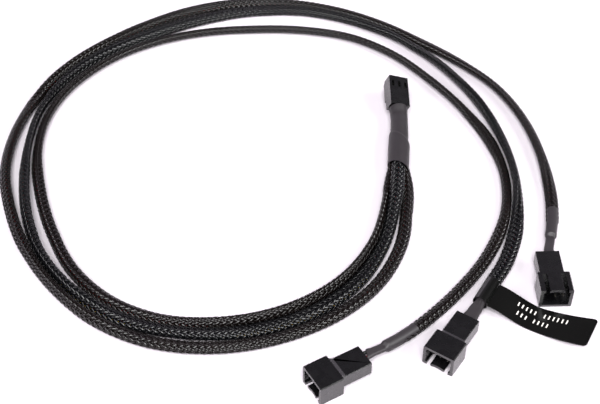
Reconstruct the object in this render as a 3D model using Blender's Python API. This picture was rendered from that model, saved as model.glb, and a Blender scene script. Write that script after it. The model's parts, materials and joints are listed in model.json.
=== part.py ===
# Fan splitter cable: a female three-way connector, a short trunk, and three sleeved legs
# that each end in a male shrouded connector. It lies on the plane z = 0, with +Z up.
# Sizes and positions below are in millimetres, and meshes are made in metres.

import math

import bmesh
import bpy
from mathutils import Matrix, Vector

MM = 0.001

# Contacts
PITCH = 2.54
PIN_SIDE = 0.64
PIN_TIP = 0.7
PIN_HOLE_CLEARANCE = 0.13
WIRE_RADIUS = 0.65
WIRE_GAP = 0.2

# Female housing, with the mating face at +Y and its windows on top
RECEPTACLE_WIDTH = 7.6
RECEPTACLE_LENGTH = 12.8
RECEPTACLE_THICKNESS = 5.0
RECEPTACLE_CHAMFER = 0.25
RECEPTACLE_FRONT_WALL = 1.0
RIB_WIDTH = 1.0
RIB_HEIGHT = 1.2
RIB_LENGTH = 8.4
RIB_INSET = 0.25
RIB_LEAD_IN = 0.6
CAVITY_WIDTH = 1.9
CAVITY_HEIGHT = 2.2
ENTRY_SIDE = 1.0
FUNNEL_SIDE = 1.5
FUNNEL_DEPTH = 0.4
WINDOW_WIDTH = 1.0
WINDOW_LENGTH = 2.5
WINDOW_FROM_FACE = 2.2

# Female terminals
TERMINAL_SIDE = 1.56
TERMINAL_BORE = 0.86
TERMINAL_BOX_LENGTH = 6.0
TERMINAL_NECK_LENGTH = 1.4
TERMINAL_NECK_SIDE = 0.9
TERMINAL_CRIMP_SIDE = 1.4
SEAT_GAP = 0.3

# Male housing: a wide shroud in front of a narrower body, with the flat face on top
SHROUD_WALL = 1.0
SHROUD_TOP_WALL = 0.95
SHROUD_LENGTH = 8.1
SHROUD_FLOOR = 0.9
SHROUD_SIDE_CLEARANCE = 0.45
SHROUD_HEIGHT_CLEARANCE = 0.75
SHROUD_CHAMFER = 0.3
TONGUE_THICKNESS = 1.1
TONGUE_CLEARANCE = 0.15
TONGUE_CORNER = 0.45
TONGUE_HOLLOW = 0.3
BODY_WIDTH = 7.9
BODY_LENGTH = 10.7
BODY_THICKNESS = 5.0
BODY_DROP = 1.0
BODY_CHAMFER = 0.2
BODY_OVERLAP = 0.5
SOCKET_SIDE = 2.0
SOCKET_FRONT_WALL = 1.2
PIN_SHORT_OF_MOUTH = 1.4
CRIMP_SIDE = 1.5
CRIMP_LENGTH = 3.4

# Sleeved legs
SLEEVE_RADIUS_SIDE = 1.45
SLEEVE_RADIUS_MIDDLE = 1.6
SLEEVE_STEP = 7.4
ROUTE_STEP = 0.5
PLUG_RUN_IN = 2.5
FLOOR_CLEARANCE = 0.03

# Trunk and collar
COLLAR_LENGTH = 15.5
COLLAR_RADIUS = 3.85
COLLAR_WALL = 0.35
COLLAR_NECK = 3.0
COLLAR_HEIGHT = 3.9
COLLAR_CENTRE = (-8.95, 37.0)
COLLAR_HEADING = math.radians(-4.8)
SLEEVE_IN_COLLAR = 5.0
SLEEVE_SPREAD = 1.85
TRUNK_RADIUS = 3.2
TRUNK_MOUTH_RADIUS = 3.45
TRUNK_MOUTH_LENGTH = 3.0
TRUNK_INNER_RADIUS = 2.45
TRUNK_DIP = (4.5, 3.35)

# Shrink tubes at the plugs
SHRINK_WALL = 0.35
SHRINK_CLEARANCE = 0.25
SHRINK_TURN = 2.5
ROUND_SIDES = 16

# Flag label: FLAG_TOUCH is how far along its tail it meets the surface
FLAG_WIDTH = 10.2
FLAG_LENGTH = 31.5
FLAG_THICKNESS = 0.35
FLAG_CORNER = 1.3
FLAG_FROM_PLUG = 9.6
FLAG_CLEARANCE = 0.2
FLAG_HEADING = math.radians(-29.5)
FLAG_LIFT = 0.12
FLAG_TOUCH = 0.44
FLAG_RISE = 4.0
FLAG_CURL = 1.6
FLAG_TILT = 0.245

# Places of the connectors: x, y, heading of the mating face, and whether the flat face is down
RECEPTACLE_REAR = (-8.0, 59.0, 4.4)
RECEPTACLE_YAW = math.radians(1.5)
RECEPTACLE_PITCH = math.radians(14.0)
RECEPTACLE_ROLL = math.radians(20.0)
PLUGS = {
    "plug_a": {"place": (-34.0, -63.7), "yaw": 120.6, "flipped": False, "ways": (0, 1)},
    "plug_b": {"place": (2.05, -51.9), "yaw": 146.3, "flipped": False, "ways": (-1, 0, 1)},
    "plug_c": {"place": (37.1, -25.5), "yaw": 181.5, "flipped": True, "ways": (0, 1)},
}

# Each leg: its plug, sleeve radius, the length of wire and of shrink tube behind the sleeve's end,
# and its route from the collar to the back of the plug, chosen by hand along the loop
LEGS = {
    "leg_a": {
        "plug": "plug_a",
        "radius": SLEEVE_RADIUS_SIDE,
        "tail": 9.5,
        "overlap": 12.0,
        "bare": 1.9,
        "route": [
            (-13.3, 20.2, 2.1), (-15.1, 10.6, 1.6), (-20.3, -7.9, 1.45), (-31.1, -24.5, 1.45),
            (-47.1, -36.0, 1.45), (-66.2, -41.9, 1.45), (-86.4, -41.2, 1.45), (-104.8, -33.5, 1.45),
            (-118.8, -20.0, 1.45), (-128.3, -2.5, 1.45), (-135.1, 16.6, 1.45), (-139.1, 36.3, 1.45),
            (-138.5, 55.9, 1.45), (-131.8, 74.4, 1.45), (-119.2, 90.2, 1.45), (-102.6, 101.6, 1.45),
            (-83.9, 108.0, 1.45), (-64.2, 110.3, 1.45), (-43.9, 109.8, 1.45), (-24.6, 105.0, 1.45),
            (-8.3, 94.2, 1.45), (4.9, 79.0, 1.45), (16.0, 62.2, 1.45), (24.4, 44.2, 1.45),
            (27.9, 24.7, 1.45), (25.5, 4.8, 1.45), (17.6, -13.5, 1.45), (5.9, -29.6, 1.6),
            (-8.2, -44.3, 2.1), (-17.4, -51.7, 3.0),
        ],
    },
    "leg_b": {
        "plug": "plug_b",
        "radius": SLEEVE_RADIUS_MIDDLE,
        "tail": 10.4,
        "overlap": 6.0,
        "bare": 0.4,
        "route": [
            (-10.4, 20.0, 4.7), (-11.7, 11.2, 3.6), (-16.6, -8.3, 1.8), (-26.5, -25.6, 1.6),
            (-41.6, -38.3, 1.6), (-60.3, -45.1, 1.6), (-80.4, -46.1, 1.6), (-99.7, -41.3, 1.6),
            (-116.4, -30.7, 1.6), (-129.2, -15.2, 1.6), (-137.3, 3.0, 1.6), (-141.6, 22.4, 1.6),
            (-142.9, 42.3, 1.6), (-140.7, 62.4, 1.6), (-133.3, 80.6, 1.6), (-120.1, 95.3, 1.6),
            (-103.6, 106.9, 1.6), (-85.8, 116.2, 1.6), (-66.9, 122.2, 1.6), (-47.1, 123.0, 1.6),
            (-27.8, 118.0, 1.6), (-10.4, 107.9, 1.6), (4.1, 94.3, 1.6), (15.6, 78.1, 1.6),
            (24.2, 60.0, 1.6), (29.6, 40.7, 1.6), (31.5, 20.9, 1.6), (29.2, 1.2, 1.6),
            (23.6, -16.0, 2.45), (18.4, -25.4, 3.05), (14.0, -32.9, 3.2),
        ],
    },
    "leg_c": {
        "plug": "plug_c",
        "radius": SLEEVE_RADIUS_SIDE,
        "tail": 10.5,
        "overlap": 12.5,
        "bare": 0.4,
        "route": [
            (-7.2, 20.2, 2.1), (-7.6, 10.9, 1.6), (-10.8, -8.6, 1.45), (-19.8, -26.2, 1.45),
            (-34.5, -39.8, 1.45), (-52.5, -48.3, 1.45), (-72.1, -51.6, 1.45), (-92.0, -49.1, 1.45),
            (-109.9, -40.6, 1.45), (-124.6, -27.1, 1.45), (-136.0, -10.6, 1.45), (-144.1, 7.8, 1.45),
            (-149.1, 27.2, 1.45), (-149.0, 47.0, 1.45), (-144.2, 66.8, 1.45), (-134.8, 84.5, 1.45),
            (-121.8, 99.6, 1.45), (-106.3, 112.3, 1.45), (-88.9, 122.2, 1.45), (-69.8, 127.6, 1.45),
            (-49.8, 127.6, 1.45), (-30.2, 122.8, 1.45), (-12.5, 113.8, 1.45), (3.5, 101.8, 1.45),
            (18.4, 88.3, 1.45), (30.7, 72.8, 1.45), (38.5, 54.5, 1.45), (42.3, 34.7, 1.45),
            (42.9, 18.0, 1.9), (41.6, 4.0, 2.4), (39.4, -6.5, 2.9),
        ],
    },
}

# Finishes: colour, roughness, metallic
FINISHES = {
    "black_nylon": ((0.012, 0.012, 0.014), 0.42, 0.0),
    "black_shrink": ((0.02, 0.019, 0.021), 0.55, 0.0),
    "black_braid": ((0.01, 0.01, 0.011), 0.38, 0.0),
    "black_film": ((0.008, 0.009, 0.009), 0.12, 0.0),
    "tinned_metal": ((0.62, 0.6, 0.56), 0.3, 1.0),
    "red_wire": ((0.5, 0.02, 0.03), 0.4, 0.0),
    "black_wire": ((0.015, 0.015, 0.015), 0.4, 0.0),
    "yellow_wire": ((0.6, 0.45, 0.03), 0.4, 0.0),
}

# Sizes that follow from the values above
SHROUD_WIDTH = RECEPTACLE_WIDTH + 2 * (SHROUD_SIDE_CLEARANCE + SHROUD_WALL)
SHROUD_HEIGHT = SHROUD_TOP_WALL + RECEPTACLE_THICKNESS + SHROUD_HEIGHT_CLEARANCE + TONGUE_THICKNESS
BODY_AXIS_HEIGHT = SHROUD_HEIGHT - BODY_DROP - BODY_THICKNESS / 2
RIB_OUTER = RECEPTACLE_WIDTH / 2 - RIB_INSET
RIB_INNER = RIB_OUTER - RIB_WIDTH
TONGUE_HALF = RIB_INNER - TONGUE_CLEARANCE
SLOT_OUTER = RIB_OUTER + TONGUE_CLEARANCE
WIRE_PITCH = 2 * WIRE_RADIUS + WIRE_GAP


# Scene and materials


def clear_scene():
    for item in list(bpy.data.objects):
        bpy.data.objects.remove(item, do_unlink=True)


def make_finish(name):
    colour, roughness, metallic = FINISHES[name]
    material = bpy.data.materials.new(name)
    material.use_nodes = True
    shader = material.node_tree.nodes["Principled BSDF"]
    shader.inputs["Base Color"].default_value = (*colour, 1.0)
    shader.inputs["Roughness"].default_value = roughness
    shader.inputs["Metallic"].default_value = metallic
    return material


def link_object(name, data, finish, matrix=None):
    item = bpy.data.objects.new(name, data)
    if finish is not None:
        data.materials.clear()
        data.materials.append(finish)
    if matrix is not None:
        item.matrix_world = matrix
    bpy.context.scene.collection.objects.link(item)
    return item


# Solid building


def add_prism(bm, outline, y_low, y_high):
    # outline runs anticlockwise as seen from -Y, in x and z
    near = [bm.verts.new((x * MM, y_low * MM, z * MM)) for x, z in outline]
    far = [bm.verts.new((x * MM, y_high * MM, z * MM)) for x, z in outline]
    bm.faces.new(near)
    bm.faces.new(list(reversed(far)))
    for i in range(len(outline)):
        j = (i + 1) % len(outline)
        bm.faces.new((near[j], near[i], far[i], far[j]))


def rectangle(x_low, x_high, z_low, z_high, chamfer=0.0):
    if chamfer <= 0:
        return [(x_low, z_low), (x_high, z_low), (x_high, z_high), (x_low, z_high)]
    c = chamfer
    return [
        (x_low + c, z_low), (x_high - c, z_low), (x_high, z_low + c), (x_high, z_high - c),
        (x_high - c, z_high), (x_low + c, z_high), (x_low, z_high - c), (x_low, z_low + c),
    ]


def add_box(bm, x, y, z, chamfer=0.0):
    add_prism(bm, rectangle(x[0], x[1], z[0], z[1], chamfer), y[0], y[1])


def add_frustum(bm, x_centre, z_centre, y_low, half_low, y_high, half_high):
    corners = ((-1, -1), (1, -1), (1, 1), (-1, 1))
    near = []
    far = []
    for sx, sz in corners:
        near.append(bm.verts.new(((x_centre + sx * half_low) * MM, y_low * MM, (z_centre + sz * half_low) * MM)))
        far.append(bm.verts.new(((x_centre + sx * half_high) * MM, y_high * MM, (z_centre + sz * half_high) * MM)))
    bm.faces.new(near)
    bm.faces.new(list(reversed(far)))
    for i in range(4):
        j = (i + 1) % 4
        bm.faces.new((near[j], near[i], far[i], far[j]))


def mesh_from(bm, name):
    bmesh.ops.recalc_face_normals(bm, faces=bm.faces)
    mesh = bpy.data.meshes.new(name)
    bm.to_mesh(mesh)
    bm.free()
    return mesh


def combine(mesh, other, operation):
    # one exact Boolean of two meshes; both helpers are removed afterwards
    base = link_object("base", mesh, None)
    tool = link_object("tool", other, None)
    step = base.modifiers.new("step", "BOOLEAN")
    step.operation = operation
    step.object = tool
    graph = bpy.context.evaluated_depsgraph_get()
    result = bpy.data.meshes.new_from_object(base.evaluated_get(graph))
    bpy.data.objects.remove(base, do_unlink=True)
    bpy.data.objects.remove(tool, do_unlink=True)
    return result


# Routes


def smooth_route(points, step):
    # a centripetal Catmull-Rom curve through the points, read at an even step
    pts = [Vector(p) for p in points]
    pts = [2 * pts[0] - pts[1]] + pts + [2 * pts[-1] - pts[-2]]
    dense = []
    for k in range(1, len(pts) - 2):
        p0, p1, p2, p3 = pts[k - 1:k + 3]
        t0 = 0.0
        t1 = t0 + math.sqrt((p1 - p0).length)
        t2 = t1 + math.sqrt((p2 - p1).length)
        t3 = t2 + math.sqrt((p3 - p2).length)
        count = max(2, round((p2 - p1).length / step))
        for i in range(count):
            t = t1 + (t2 - t1) * i / count
            a1 = p0 * ((t1 - t) / (t1 - t0)) + p1 * ((t - t0) / (t1 - t0))
            a2 = p1 * ((t2 - t) / (t2 - t1)) + p2 * ((t - t1) / (t2 - t1))
            a3 = p2 * ((t3 - t) / (t3 - t2)) + p3 * ((t - t2) / (t3 - t2))
            b1 = a1 * ((t2 - t) / (t2 - t0)) + a2 * ((t - t0) / (t2 - t0))
            b2 = a2 * ((t3 - t) / (t3 - t1)) + a3 * ((t - t1) / (t3 - t1))
            dense.append(b1 * ((t2 - t) / (t2 - t1)) + b2 * ((t - t1) / (t2 - t1)))
    dense.append(pts[-2])
    return dense


class Path:
    # a polyline that can be read by the distance along it
    def __init__(self, points):
        self.points = [Vector(p) for p in points]
        self.marks = [0.0]
        for a, b in zip(self.points, self.points[1:]):
            self.marks.append(self.marks[-1] + (b - a).length)
        self.length = self.marks[-1]

    def at(self, distance):
        s = min(max(distance, 0.0), self.length)
        low, high = 0, len(self.marks) - 1
        while high - low > 1:
            middle = (low + high) // 2
            if self.marks[middle] <= s:
                low = middle
            else:
                high = middle
        share = (s - self.marks[low]) / max(1e-9, self.marks[high] - self.marks[low])
        return self.points[low].lerp(self.points[high], share)

    def heading(self, distance, reach=0.6):
        return (self.at(distance + reach) - self.at(distance - reach)).normalized()


def even_steps(start, end, step):
    count = max(1, math.ceil((end - start) / step))
    return [start + (end - start) * i / count for i in range(count + 1)]


def add_cord(name, points, radius, finish):
    curve = bpy.data.curves.new(name, "CURVE")
    curve.dimensions = "3D"
    curve.bevel_depth = radius * MM
    curve.bevel_resolution = 2
    curve.use_fill_caps = True
    spline = curve.splines.new("POLY")
    spline.points.add(len(points) - 1)
    for slot, point in zip(spline.points, points):
        slot.co = (*(point * MM), 1.0)
    return link_object(name, curve, finish)


def stadium(half_width, half_height, count):
    # two half circles joined by straight runs; half_width is never less than half_height
    run = max(half_width - half_height, 0.05)
    half = count // 2
    points = []
    for side in (1, -1):
        for i in range(half):
            turn = -math.pi / 2 + math.pi * i / (half - 1)
            points.append((side * (run + half_height * math.cos(turn)), side * half_height * math.sin(turn)))
    return points


def add_shrink_tube(name, path, stations, wall, across, finish):
    # stations are (distance, inner half width, inner half height); across is the wide direction
    bm = bmesh.new()
    rings = []
    for distance, half_width, half_height in stations:
        centre = path.at(distance)
        ahead = path.heading(distance)
        side = (across - across.dot(ahead) * ahead).normalized()
        top = side.cross(ahead)
        pair = []
        for extra in (0.0, wall):
            loop = stadium(half_width + extra, half_height + extra, ROUND_SIDES)
            pair.append([bm.verts.new((centre + side * u + top * v) * MM) for u, v in loop])
        rings.append(pair)
    for (inner_a, outer_a), (inner_b, outer_b) in zip(rings, rings[1:]):
        for i in range(ROUND_SIDES):
            j = (i + 1) % ROUND_SIDES
            bm.faces.new((outer_a[i], outer_a[j], outer_b[j], outer_b[i]))
            bm.faces.new((inner_a[j], inner_a[i], inner_b[i], inner_b[j]))
    for (inner, outer), turn in ((rings[0], 1), (rings[-1], -1)):
        for i in range(ROUND_SIDES):
            j = (i + 1) % ROUND_SIDES
            bm.faces.new((outer[i], inner[i], inner[j], outer[j])[::turn])
    mesh = mesh_from(bm, name)
    mesh.shade_smooth()
    mesh.set_sharp_from_angle(angle=math.radians(50))
    return link_object(name, mesh, finish)


# Frames of the connectors


def receptacle_frame():
    turn = (
        Matrix.Rotation(RECEPTACLE_YAW, 4, "Z")
        @ Matrix.Rotation(RECEPTACLE_PITCH, 4, "X")
        @ Matrix.Rotation(RECEPTACLE_ROLL, 4, "Y")
    )
    return Matrix.Translation(Vector(RECEPTACLE_REAR) * MM) @ turn


def plug_frame(plug):
    x, y = plug["place"]
    lift = SHROUD_HEIGHT if plug["flipped"] else 0.0
    turn = Matrix.Rotation(math.radians(plug["yaw"]), 4, "Z")
    if plug["flipped"]:
        turn = turn @ Matrix.Rotation(math.pi, 4, "Y")
    return Matrix.Translation(Vector((x, y, lift)) * MM) @ turn


def in_frame(frame, point):
    return (frame @ (Vector(point) * MM)) / MM


def direction_in(frame, direction):
    return (frame.to_3x3() @ Vector(direction)).normalized()


# Female connector


def build_receptacle(finishes):
    frame = receptacle_frame()
    half_width = RECEPTACLE_WIDTH / 2
    half_thickness = RECEPTACLE_THICKNESS / 2
    shell = bmesh.new()
    add_box(shell, (-half_width, half_width), (0, RECEPTACLE_LENGTH), (-half_thickness, half_thickness),
            RECEPTACLE_CHAMFER)
    mesh = mesh_from(shell, "receptacle_housing")
    ribs = bmesh.new()
    rib_end = RECEPTACLE_LENGTH - RIB_LEAD_IN / 2
    for side in (-1, 1):
        edges = sorted((side * RIB_INNER, side * RIB_OUTER))
        low, high = -half_thickness - RIB_HEIGHT, -half_thickness + RECEPTACLE_CHAMFER
        lead = low + RIB_LEAD_IN
        profile = [
            (rib_end - RIB_LENGTH, low), (rib_end - RIB_LEAD_IN, low), (rib_end, lead), (rib_end, high),
            (rib_end - RIB_LENGTH, high),
        ]
        rings = [[ribs.verts.new((x * MM, y * MM, z * MM)) for y, z in profile] for x in edges]
        ribs.faces.new(rings[0])
        ribs.faces.new(rings[1][::-1])
        for i in range(len(profile)):
            j = (i + 1) % len(profile)
            ribs.faces.new((rings[0][j], rings[0][i], rings[1][i], rings[1][j]))
    mesh = combine(mesh, mesh_from(ribs, "ribs"), "UNION")

    cuts = bmesh.new()
    front = RECEPTACLE_LENGTH - RECEPTACLE_FRONT_WALL
    for way in (-1, 0, 1):
        x = way * PITCH
        add_box(cuts, (x - CAVITY_WIDTH / 2, x + CAVITY_WIDTH / 2), (-1, front),
                (-CAVITY_HEIGHT / 2, CAVITY_HEIGHT / 2))
    mesh = combine(mesh, mesh_from(cuts, "cavities"), "DIFFERENCE")
    cuts = bmesh.new()
    window_end = RECEPTACLE_LENGTH - WINDOW_FROM_FACE
    for way in (-1, 0, 1):
        x = way * PITCH
        add_box(cuts, (x - WINDOW_WIDTH / 2, x + WINDOW_WIDTH / 2), (window_end - WINDOW_LENGTH, window_end),
                (0, half_thickness + 1))
        add_box(cuts, (x - ENTRY_SIDE / 2, x + ENTRY_SIDE / 2), (front - 0.5, RECEPTACLE_LENGTH - FUNNEL_DEPTH / 2),
                (-ENTRY_SIDE / 2, ENTRY_SIDE / 2))
    mesh = combine(mesh, mesh_from(cuts, "windows"), "DIFFERENCE")
    cuts = bmesh.new()
    for way in (-1, 0, 1):
        slope = (FUNNEL_SIDE - ENTRY_SIDE) / 2
        add_frustum(cuts, way * PITCH, 0, RECEPTACLE_LENGTH - FUNNEL_DEPTH, ENTRY_SIDE / 2,
                    RECEPTACLE_LENGTH + FUNNEL_DEPTH, ENTRY_SIDE / 2 + 2 * slope)
    mesh = combine(mesh, mesh_from(cuts, "funnels"), "DIFFERENCE")
    mesh.name = "receptacle_housing"
    link_object("receptacle_housing", mesh, finishes["black_nylon"], frame)

    for number, way in enumerate((-1, 0, 1), 1):
        build_terminal("receptacle_terminal_%d" % number, way * PITCH, front - SEAT_GAP, frame, finishes)


def build_terminal(name, x, front, frame, finishes):
    # a folded contact box, a neck, and the crimp on the wire
    side = TERMINAL_SIDE / 2
    bm = bmesh.new()
    add_box(bm, (x - side, x + side), (front - TERMINAL_BOX_LENGTH, front), (-side, side), side / 5)
    mesh = mesh_from(bm, name)
    neck = bmesh.new()
    neck_end = front - TERMINAL_BOX_LENGTH - TERMINAL_NECK_LENGTH
    half = TERMINAL_NECK_SIDE / 2
    add_box(neck, (x - half, x + half), (neck_end - 0.5, front - TERMINAL_BOX_LENGTH + 0.5), (-half, half))
    mesh = combine(mesh, mesh_from(neck, "neck"), "UNION")
    crimp = bmesh.new()
    half = TERMINAL_CRIMP_SIDE / 2
    add_box(crimp, (x - half, x + half), (SEAT_GAP, neck_end), (-half, half), half / 2.5)
    mesh = combine(mesh, mesh_from(crimp, "crimp"), "UNION")
    bore = bmesh.new()
    half = TERMINAL_BORE / 2
    add_box(bore, (x - half, x + half), (front - TERMINAL_BOX_LENGTH * 0.8, front + 1), (-half, half))
    mesh = combine(mesh, mesh_from(bore, "bore"), "DIFFERENCE")
    mesh.name = name
    link_object(name, mesh, finishes["tinned_metal"], frame)


# Male connectors


def plug_housing_mesh():
    half = SHROUD_WIDTH / 2
    shell = bmesh.new()
    add_box(shell, (-half, half), (0, SHROUD_LENGTH), (0, SHROUD_HEIGHT), SHROUD_CHAMFER)
    mesh = mesh_from(shell, "plug_housing")
    body = bmesh.new()
    body_low = BODY_AXIS_HEIGHT - BODY_THICKNESS / 2
    add_box(body, (-BODY_WIDTH / 2, BODY_WIDTH / 2), (-BODY_LENGTH, BODY_OVERLAP),
            (body_low, body_low + BODY_THICKNESS), BODY_CHAMFER)
    mesh = combine(mesh, mesh_from(body, "body"), "UNION")

    room = bmesh.new()
    inner = half - SHROUD_WALL
    add_box(room, (-inner, inner), (SHROUD_FLOOR, SHROUD_LENGTH + 1),
            (TONGUE_THICKNESS, SHROUD_HEIGHT - SHROUD_TOP_WALL))
    mesh = combine(mesh, mesh_from(room, "room"), "DIFFERENCE")

    slots = bmesh.new()
    for side in (-1, 1):
        outline = [
            (TONGUE_HALF, TONGUE_THICKNESS + 0.5), (TONGUE_HALF, TONGUE_CORNER),
            (TONGUE_HALF - TONGUE_CORNER * 0.3, TONGUE_CORNER * 0.3), (TONGUE_HALF - TONGUE_CORNER, -0.001),
            (TONGUE_HALF - TONGUE_CORNER, -1), (SLOT_OUTER, -1), (SLOT_OUTER, TONGUE_THICKNESS + 0.5),
        ]
        add_prism(slots, [(side * x, z) for x, z in outline], SHROUD_FLOOR, SHROUD_LENGTH + 1)
    mesh = combine(mesh, mesh_from(slots, "slots"), "DIFFERENCE")

    # the tongue's front edge is slightly hollow
    dish = bmesh.new()
    radius = (TONGUE_HALF ** 2 + TONGUE_HOLLOW ** 2) / (2 * TONGUE_HOLLOW)
    centre_y = SHROUD_LENGTH - TONGUE_HOLLOW + radius
    reach = TONGUE_HALF * 1.08
    arc = []
    for i in range(9):
        x = -reach + 2 * reach * i / 8
        arc.append((x, centre_y - math.sqrt(radius ** 2 - x ** 2)))
    loop = arc + [(reach, SHROUD_LENGTH + 2), (-reach, SHROUD_LENGTH + 2)]
    low = [dish.verts.new((x * MM, y * MM, -1 * MM)) for x, y in loop]
    high = [dish.verts.new((x * MM, y * MM, (TONGUE_THICKNESS + 0.3) * MM)) for x, y in loop]
    dish.faces.new(low[::-1])
    dish.faces.new(high)
    for i in range(len(loop)):
        j = (i + 1) % len(loop)
        dish.faces.new((low[i], low[j], high[j], high[i]))
    mesh = combine(mesh, mesh_from(dish, "dish"), "DIFFERENCE")

    sockets = bmesh.new()
    holes = bmesh.new()
    hole = PIN_SIDE / 2 + PIN_HOLE_CLEARANCE
    for way in (-1, 0, 1):
        x = way * PITCH
        add_box(sockets, (x - SOCKET_SIDE / 2, x + SOCKET_SIDE / 2),
                (-BODY_LENGTH - 1, SHROUD_FLOOR - SOCKET_FRONT_WALL),
                (BODY_AXIS_HEIGHT - SOCKET_SIDE / 2, BODY_AXIS_HEIGHT + SOCKET_SIDE / 2))
        add_box(holes, (x - hole, x + hole), (SHROUD_FLOOR - SOCKET_FRONT_WALL - 0.3, SHROUD_FLOOR + 0.3),
                (BODY_AXIS_HEIGHT - hole, BODY_AXIS_HEIGHT + hole))
    mesh = combine(mesh, mesh_from(sockets, "sockets"), "DIFFERENCE")
    mesh = combine(mesh, mesh_from(holes, "holes"), "DIFFERENCE")
    mesh.name = "plug_housing"
    return mesh


def build_plug_pin(name, way, frame, finishes):
    x = way * PITCH
    half = PIN_SIDE / 2
    crimp_front = SHROUD_FLOOR - SOCKET_FRONT_WALL - SEAT_GAP
    tip = SHROUD_LENGTH - PIN_SHORT_OF_MOUTH
    pin = bmesh.new()
    z = (BODY_AXIS_HEIGHT - half, BODY_AXIS_HEIGHT + half)
    add_box(pin, (x - half, x + half), (crimp_front - 1, tip - PIN_TIP), z)
    mesh = mesh_from(pin, name)
    point = bmesh.new()
    add_frustum(point, x, BODY_AXIS_HEIGHT, tip - PIN_TIP, half, tip, half * 0.35)
    mesh = combine(mesh, mesh_from(point, "point"), "UNION")
    crimp = bmesh.new()
    half = CRIMP_SIDE / 2
    add_box(crimp, (x - half, x + half), (crimp_front - CRIMP_LENGTH, crimp_front),
            (BODY_AXIS_HEIGHT - half, BODY_AXIS_HEIGHT + half), half / 2.5)
    mesh = combine(mesh, mesh_from(crimp, "crimp"), "UNION")
    mesh.name = name
    link_object(name, mesh, finishes["tinned_metal"], frame)


# Wires and shrink tube between a sleeve's end and its plug


def ease(share):
    s = min(max(share, 0.0), 1.0)
    return s * s * (3 - 2 * s)


def wire_spots(ways, since_sleeve, to_plug):
    # where each wire runs beside the leg's middle line: across and up
    spots = []
    centre = sum(ways) / len(ways)
    slack = SOCKET_SIDE / 2 - WIRE_RADIUS - 0.05
    for way in ways:
        share = way - centre
        packed = share * WIRE_PITCH
        lean = slack if share < 0 else (-slack if share > 0 else 0.0)
        opened = share * PITCH + lean
        if len(ways) == 3:
            # three wires leave the sleeve as a triangle and then lie side by side
            start = (share * (WIRE_RADIUS + 0.05), 0.8 if share == 0 else -0.4)
            spread = ease(since_sleeve / SHRINK_TURN)
            drop = ease((since_sleeve - SHRINK_TURN) / SHRINK_TURN)
            across = start[0] + (packed - start[0]) * spread
            up = start[1] * (1 - drop)
        else:
            across, up = packed, 0.0
        fan = ease(1 - to_plug / SHRINK_TURN)
        spots.append((across + (opened - across) * fan, up))
    return spots


def leg_path(name):
    leg = LEGS[name]
    plug = PLUGS[leg["plug"]]
    frame = plug_frame(plug)
    centre = sum(plug["ways"]) / len(plug["ways"]) * PITCH
    back = in_frame(frame, (centre, -BODY_LENGTH, BODY_AXIS_HEIGHT))
    ahead = direction_in(frame, (0, 1, 0))
    points = collar_entry(name) + [Vector(p) for p in leg["route"]] + [back - ahead * PLUG_RUN_IN, back]
    smooth = smooth_route(points, ROUTE_STEP)
    # the leg lies on the surface and never dips below it
    floor = leg["radius"] + FLOOR_CLEARANCE
    return Path([(p.x, p.y, max(p.z, floor)) for p in smooth])


def build_leg(name, finishes):
    leg = LEGS[name]
    plug_name = leg["plug"]
    plug = PLUGS[plug_name]
    frame = plug_frame(plug)
    path = leg_path(name)
    sleeve_end = path.length - leg["tail"]
    marks = even_steps(0.0, sleeve_end, SLEEVE_STEP)
    add_cord(name + "_sleeve", [path.at(s) for s in marks], leg["radius"], finishes["black_braid"])

    across = direction_in(frame, (1, 0, 0))
    up = direction_in(frame, (0, 0, 1))
    centre = sum(plug["ways"]) / len(plug["ways"]) * PITCH
    crimp_back = SHROUD_FLOOR - SOCKET_FRONT_WALL - SEAT_GAP - CRIMP_LENGTH - SEAT_GAP
    colours = {1: "black_wire", 0: "red_wire", -1: "yellow_wire"}
    start = sleeve_end + SEAT_GAP
    for index, way in enumerate(plug["ways"]):
        points = []
        for s in even_steps(start, path.length - 0.2, 1.6):
            ahead = path.heading(s)
            side = (across - across.dot(ahead) * ahead).normalized()
            top = side.cross(ahead)
            top = top if top.dot(up) > 0 else -top
            u, v = wire_spots(plug["ways"], s - start, path.length - s)[index]
            points.append(path.at(s) + side * u + top * v)
        u, v = wire_spots(plug["ways"], path.length - start, 0.0)[index]
        for y in (-BODY_LENGTH + 1.0, crimp_back):
            points.append(in_frame(frame, (centre + u, y, BODY_AXIS_HEIGHT + v)))
        add_cord("%s_wire_%d" % (plug_name, 2 - way), points, WIRE_RADIUS, finishes[colours[way]])
        build_plug_pin("%s_pin_%d" % (plug_name, 2 - way), way, frame, finishes)

    round_half = leg["radius"] + SHRINK_CLEARANCE
    stations = []
    first = sleeve_end - leg["overlap"]
    last = path.length - leg["bare"]
    turn_start = sleeve_end + 0.6
    marks = even_steps(first, sleeve_end, 3.0) + even_steps(turn_start, turn_start + 2 * SHRINK_TURN, 1.25)
    marks += even_steps(turn_start + 2 * SHRINK_TURN, last, 1.4)[1:]
    for s in marks:
        if s <= turn_start:
            stations.append((s, round_half, round_half))
            continue
        spots = wire_spots(plug["ways"], max(0.0, s - start), path.length - s)
        room = WIRE_RADIUS + WIRE_GAP * 0.7
        width = max(abs(u) for u, _ in spots) + room
        height = max(abs(v) for _, v in spots) + room
        settle = ease((s - turn_start) / SHRINK_TURN)
        stations.append((s, max(width, round_half + (width - round_half) * settle),
                         max(height, round_half + (height - round_half) * settle)))
    add_shrink_tube(plug_name + "_heat_shrink", path, stations, SHRINK_WALL, across, finishes["black_shrink"])
    return path


# Collar and trunk


def collar_axis():
    ahead = Vector((-math.sin(COLLAR_HEADING), math.cos(COLLAR_HEADING), 0))
    right = Vector((math.cos(COLLAR_HEADING), math.sin(COLLAR_HEADING), 0))
    middle = Vector((*COLLAR_CENTRE, COLLAR_HEIGHT))
    return middle - ahead * COLLAR_LENGTH / 2, middle + ahead * COLLAR_LENGTH / 2, ahead, right


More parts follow.
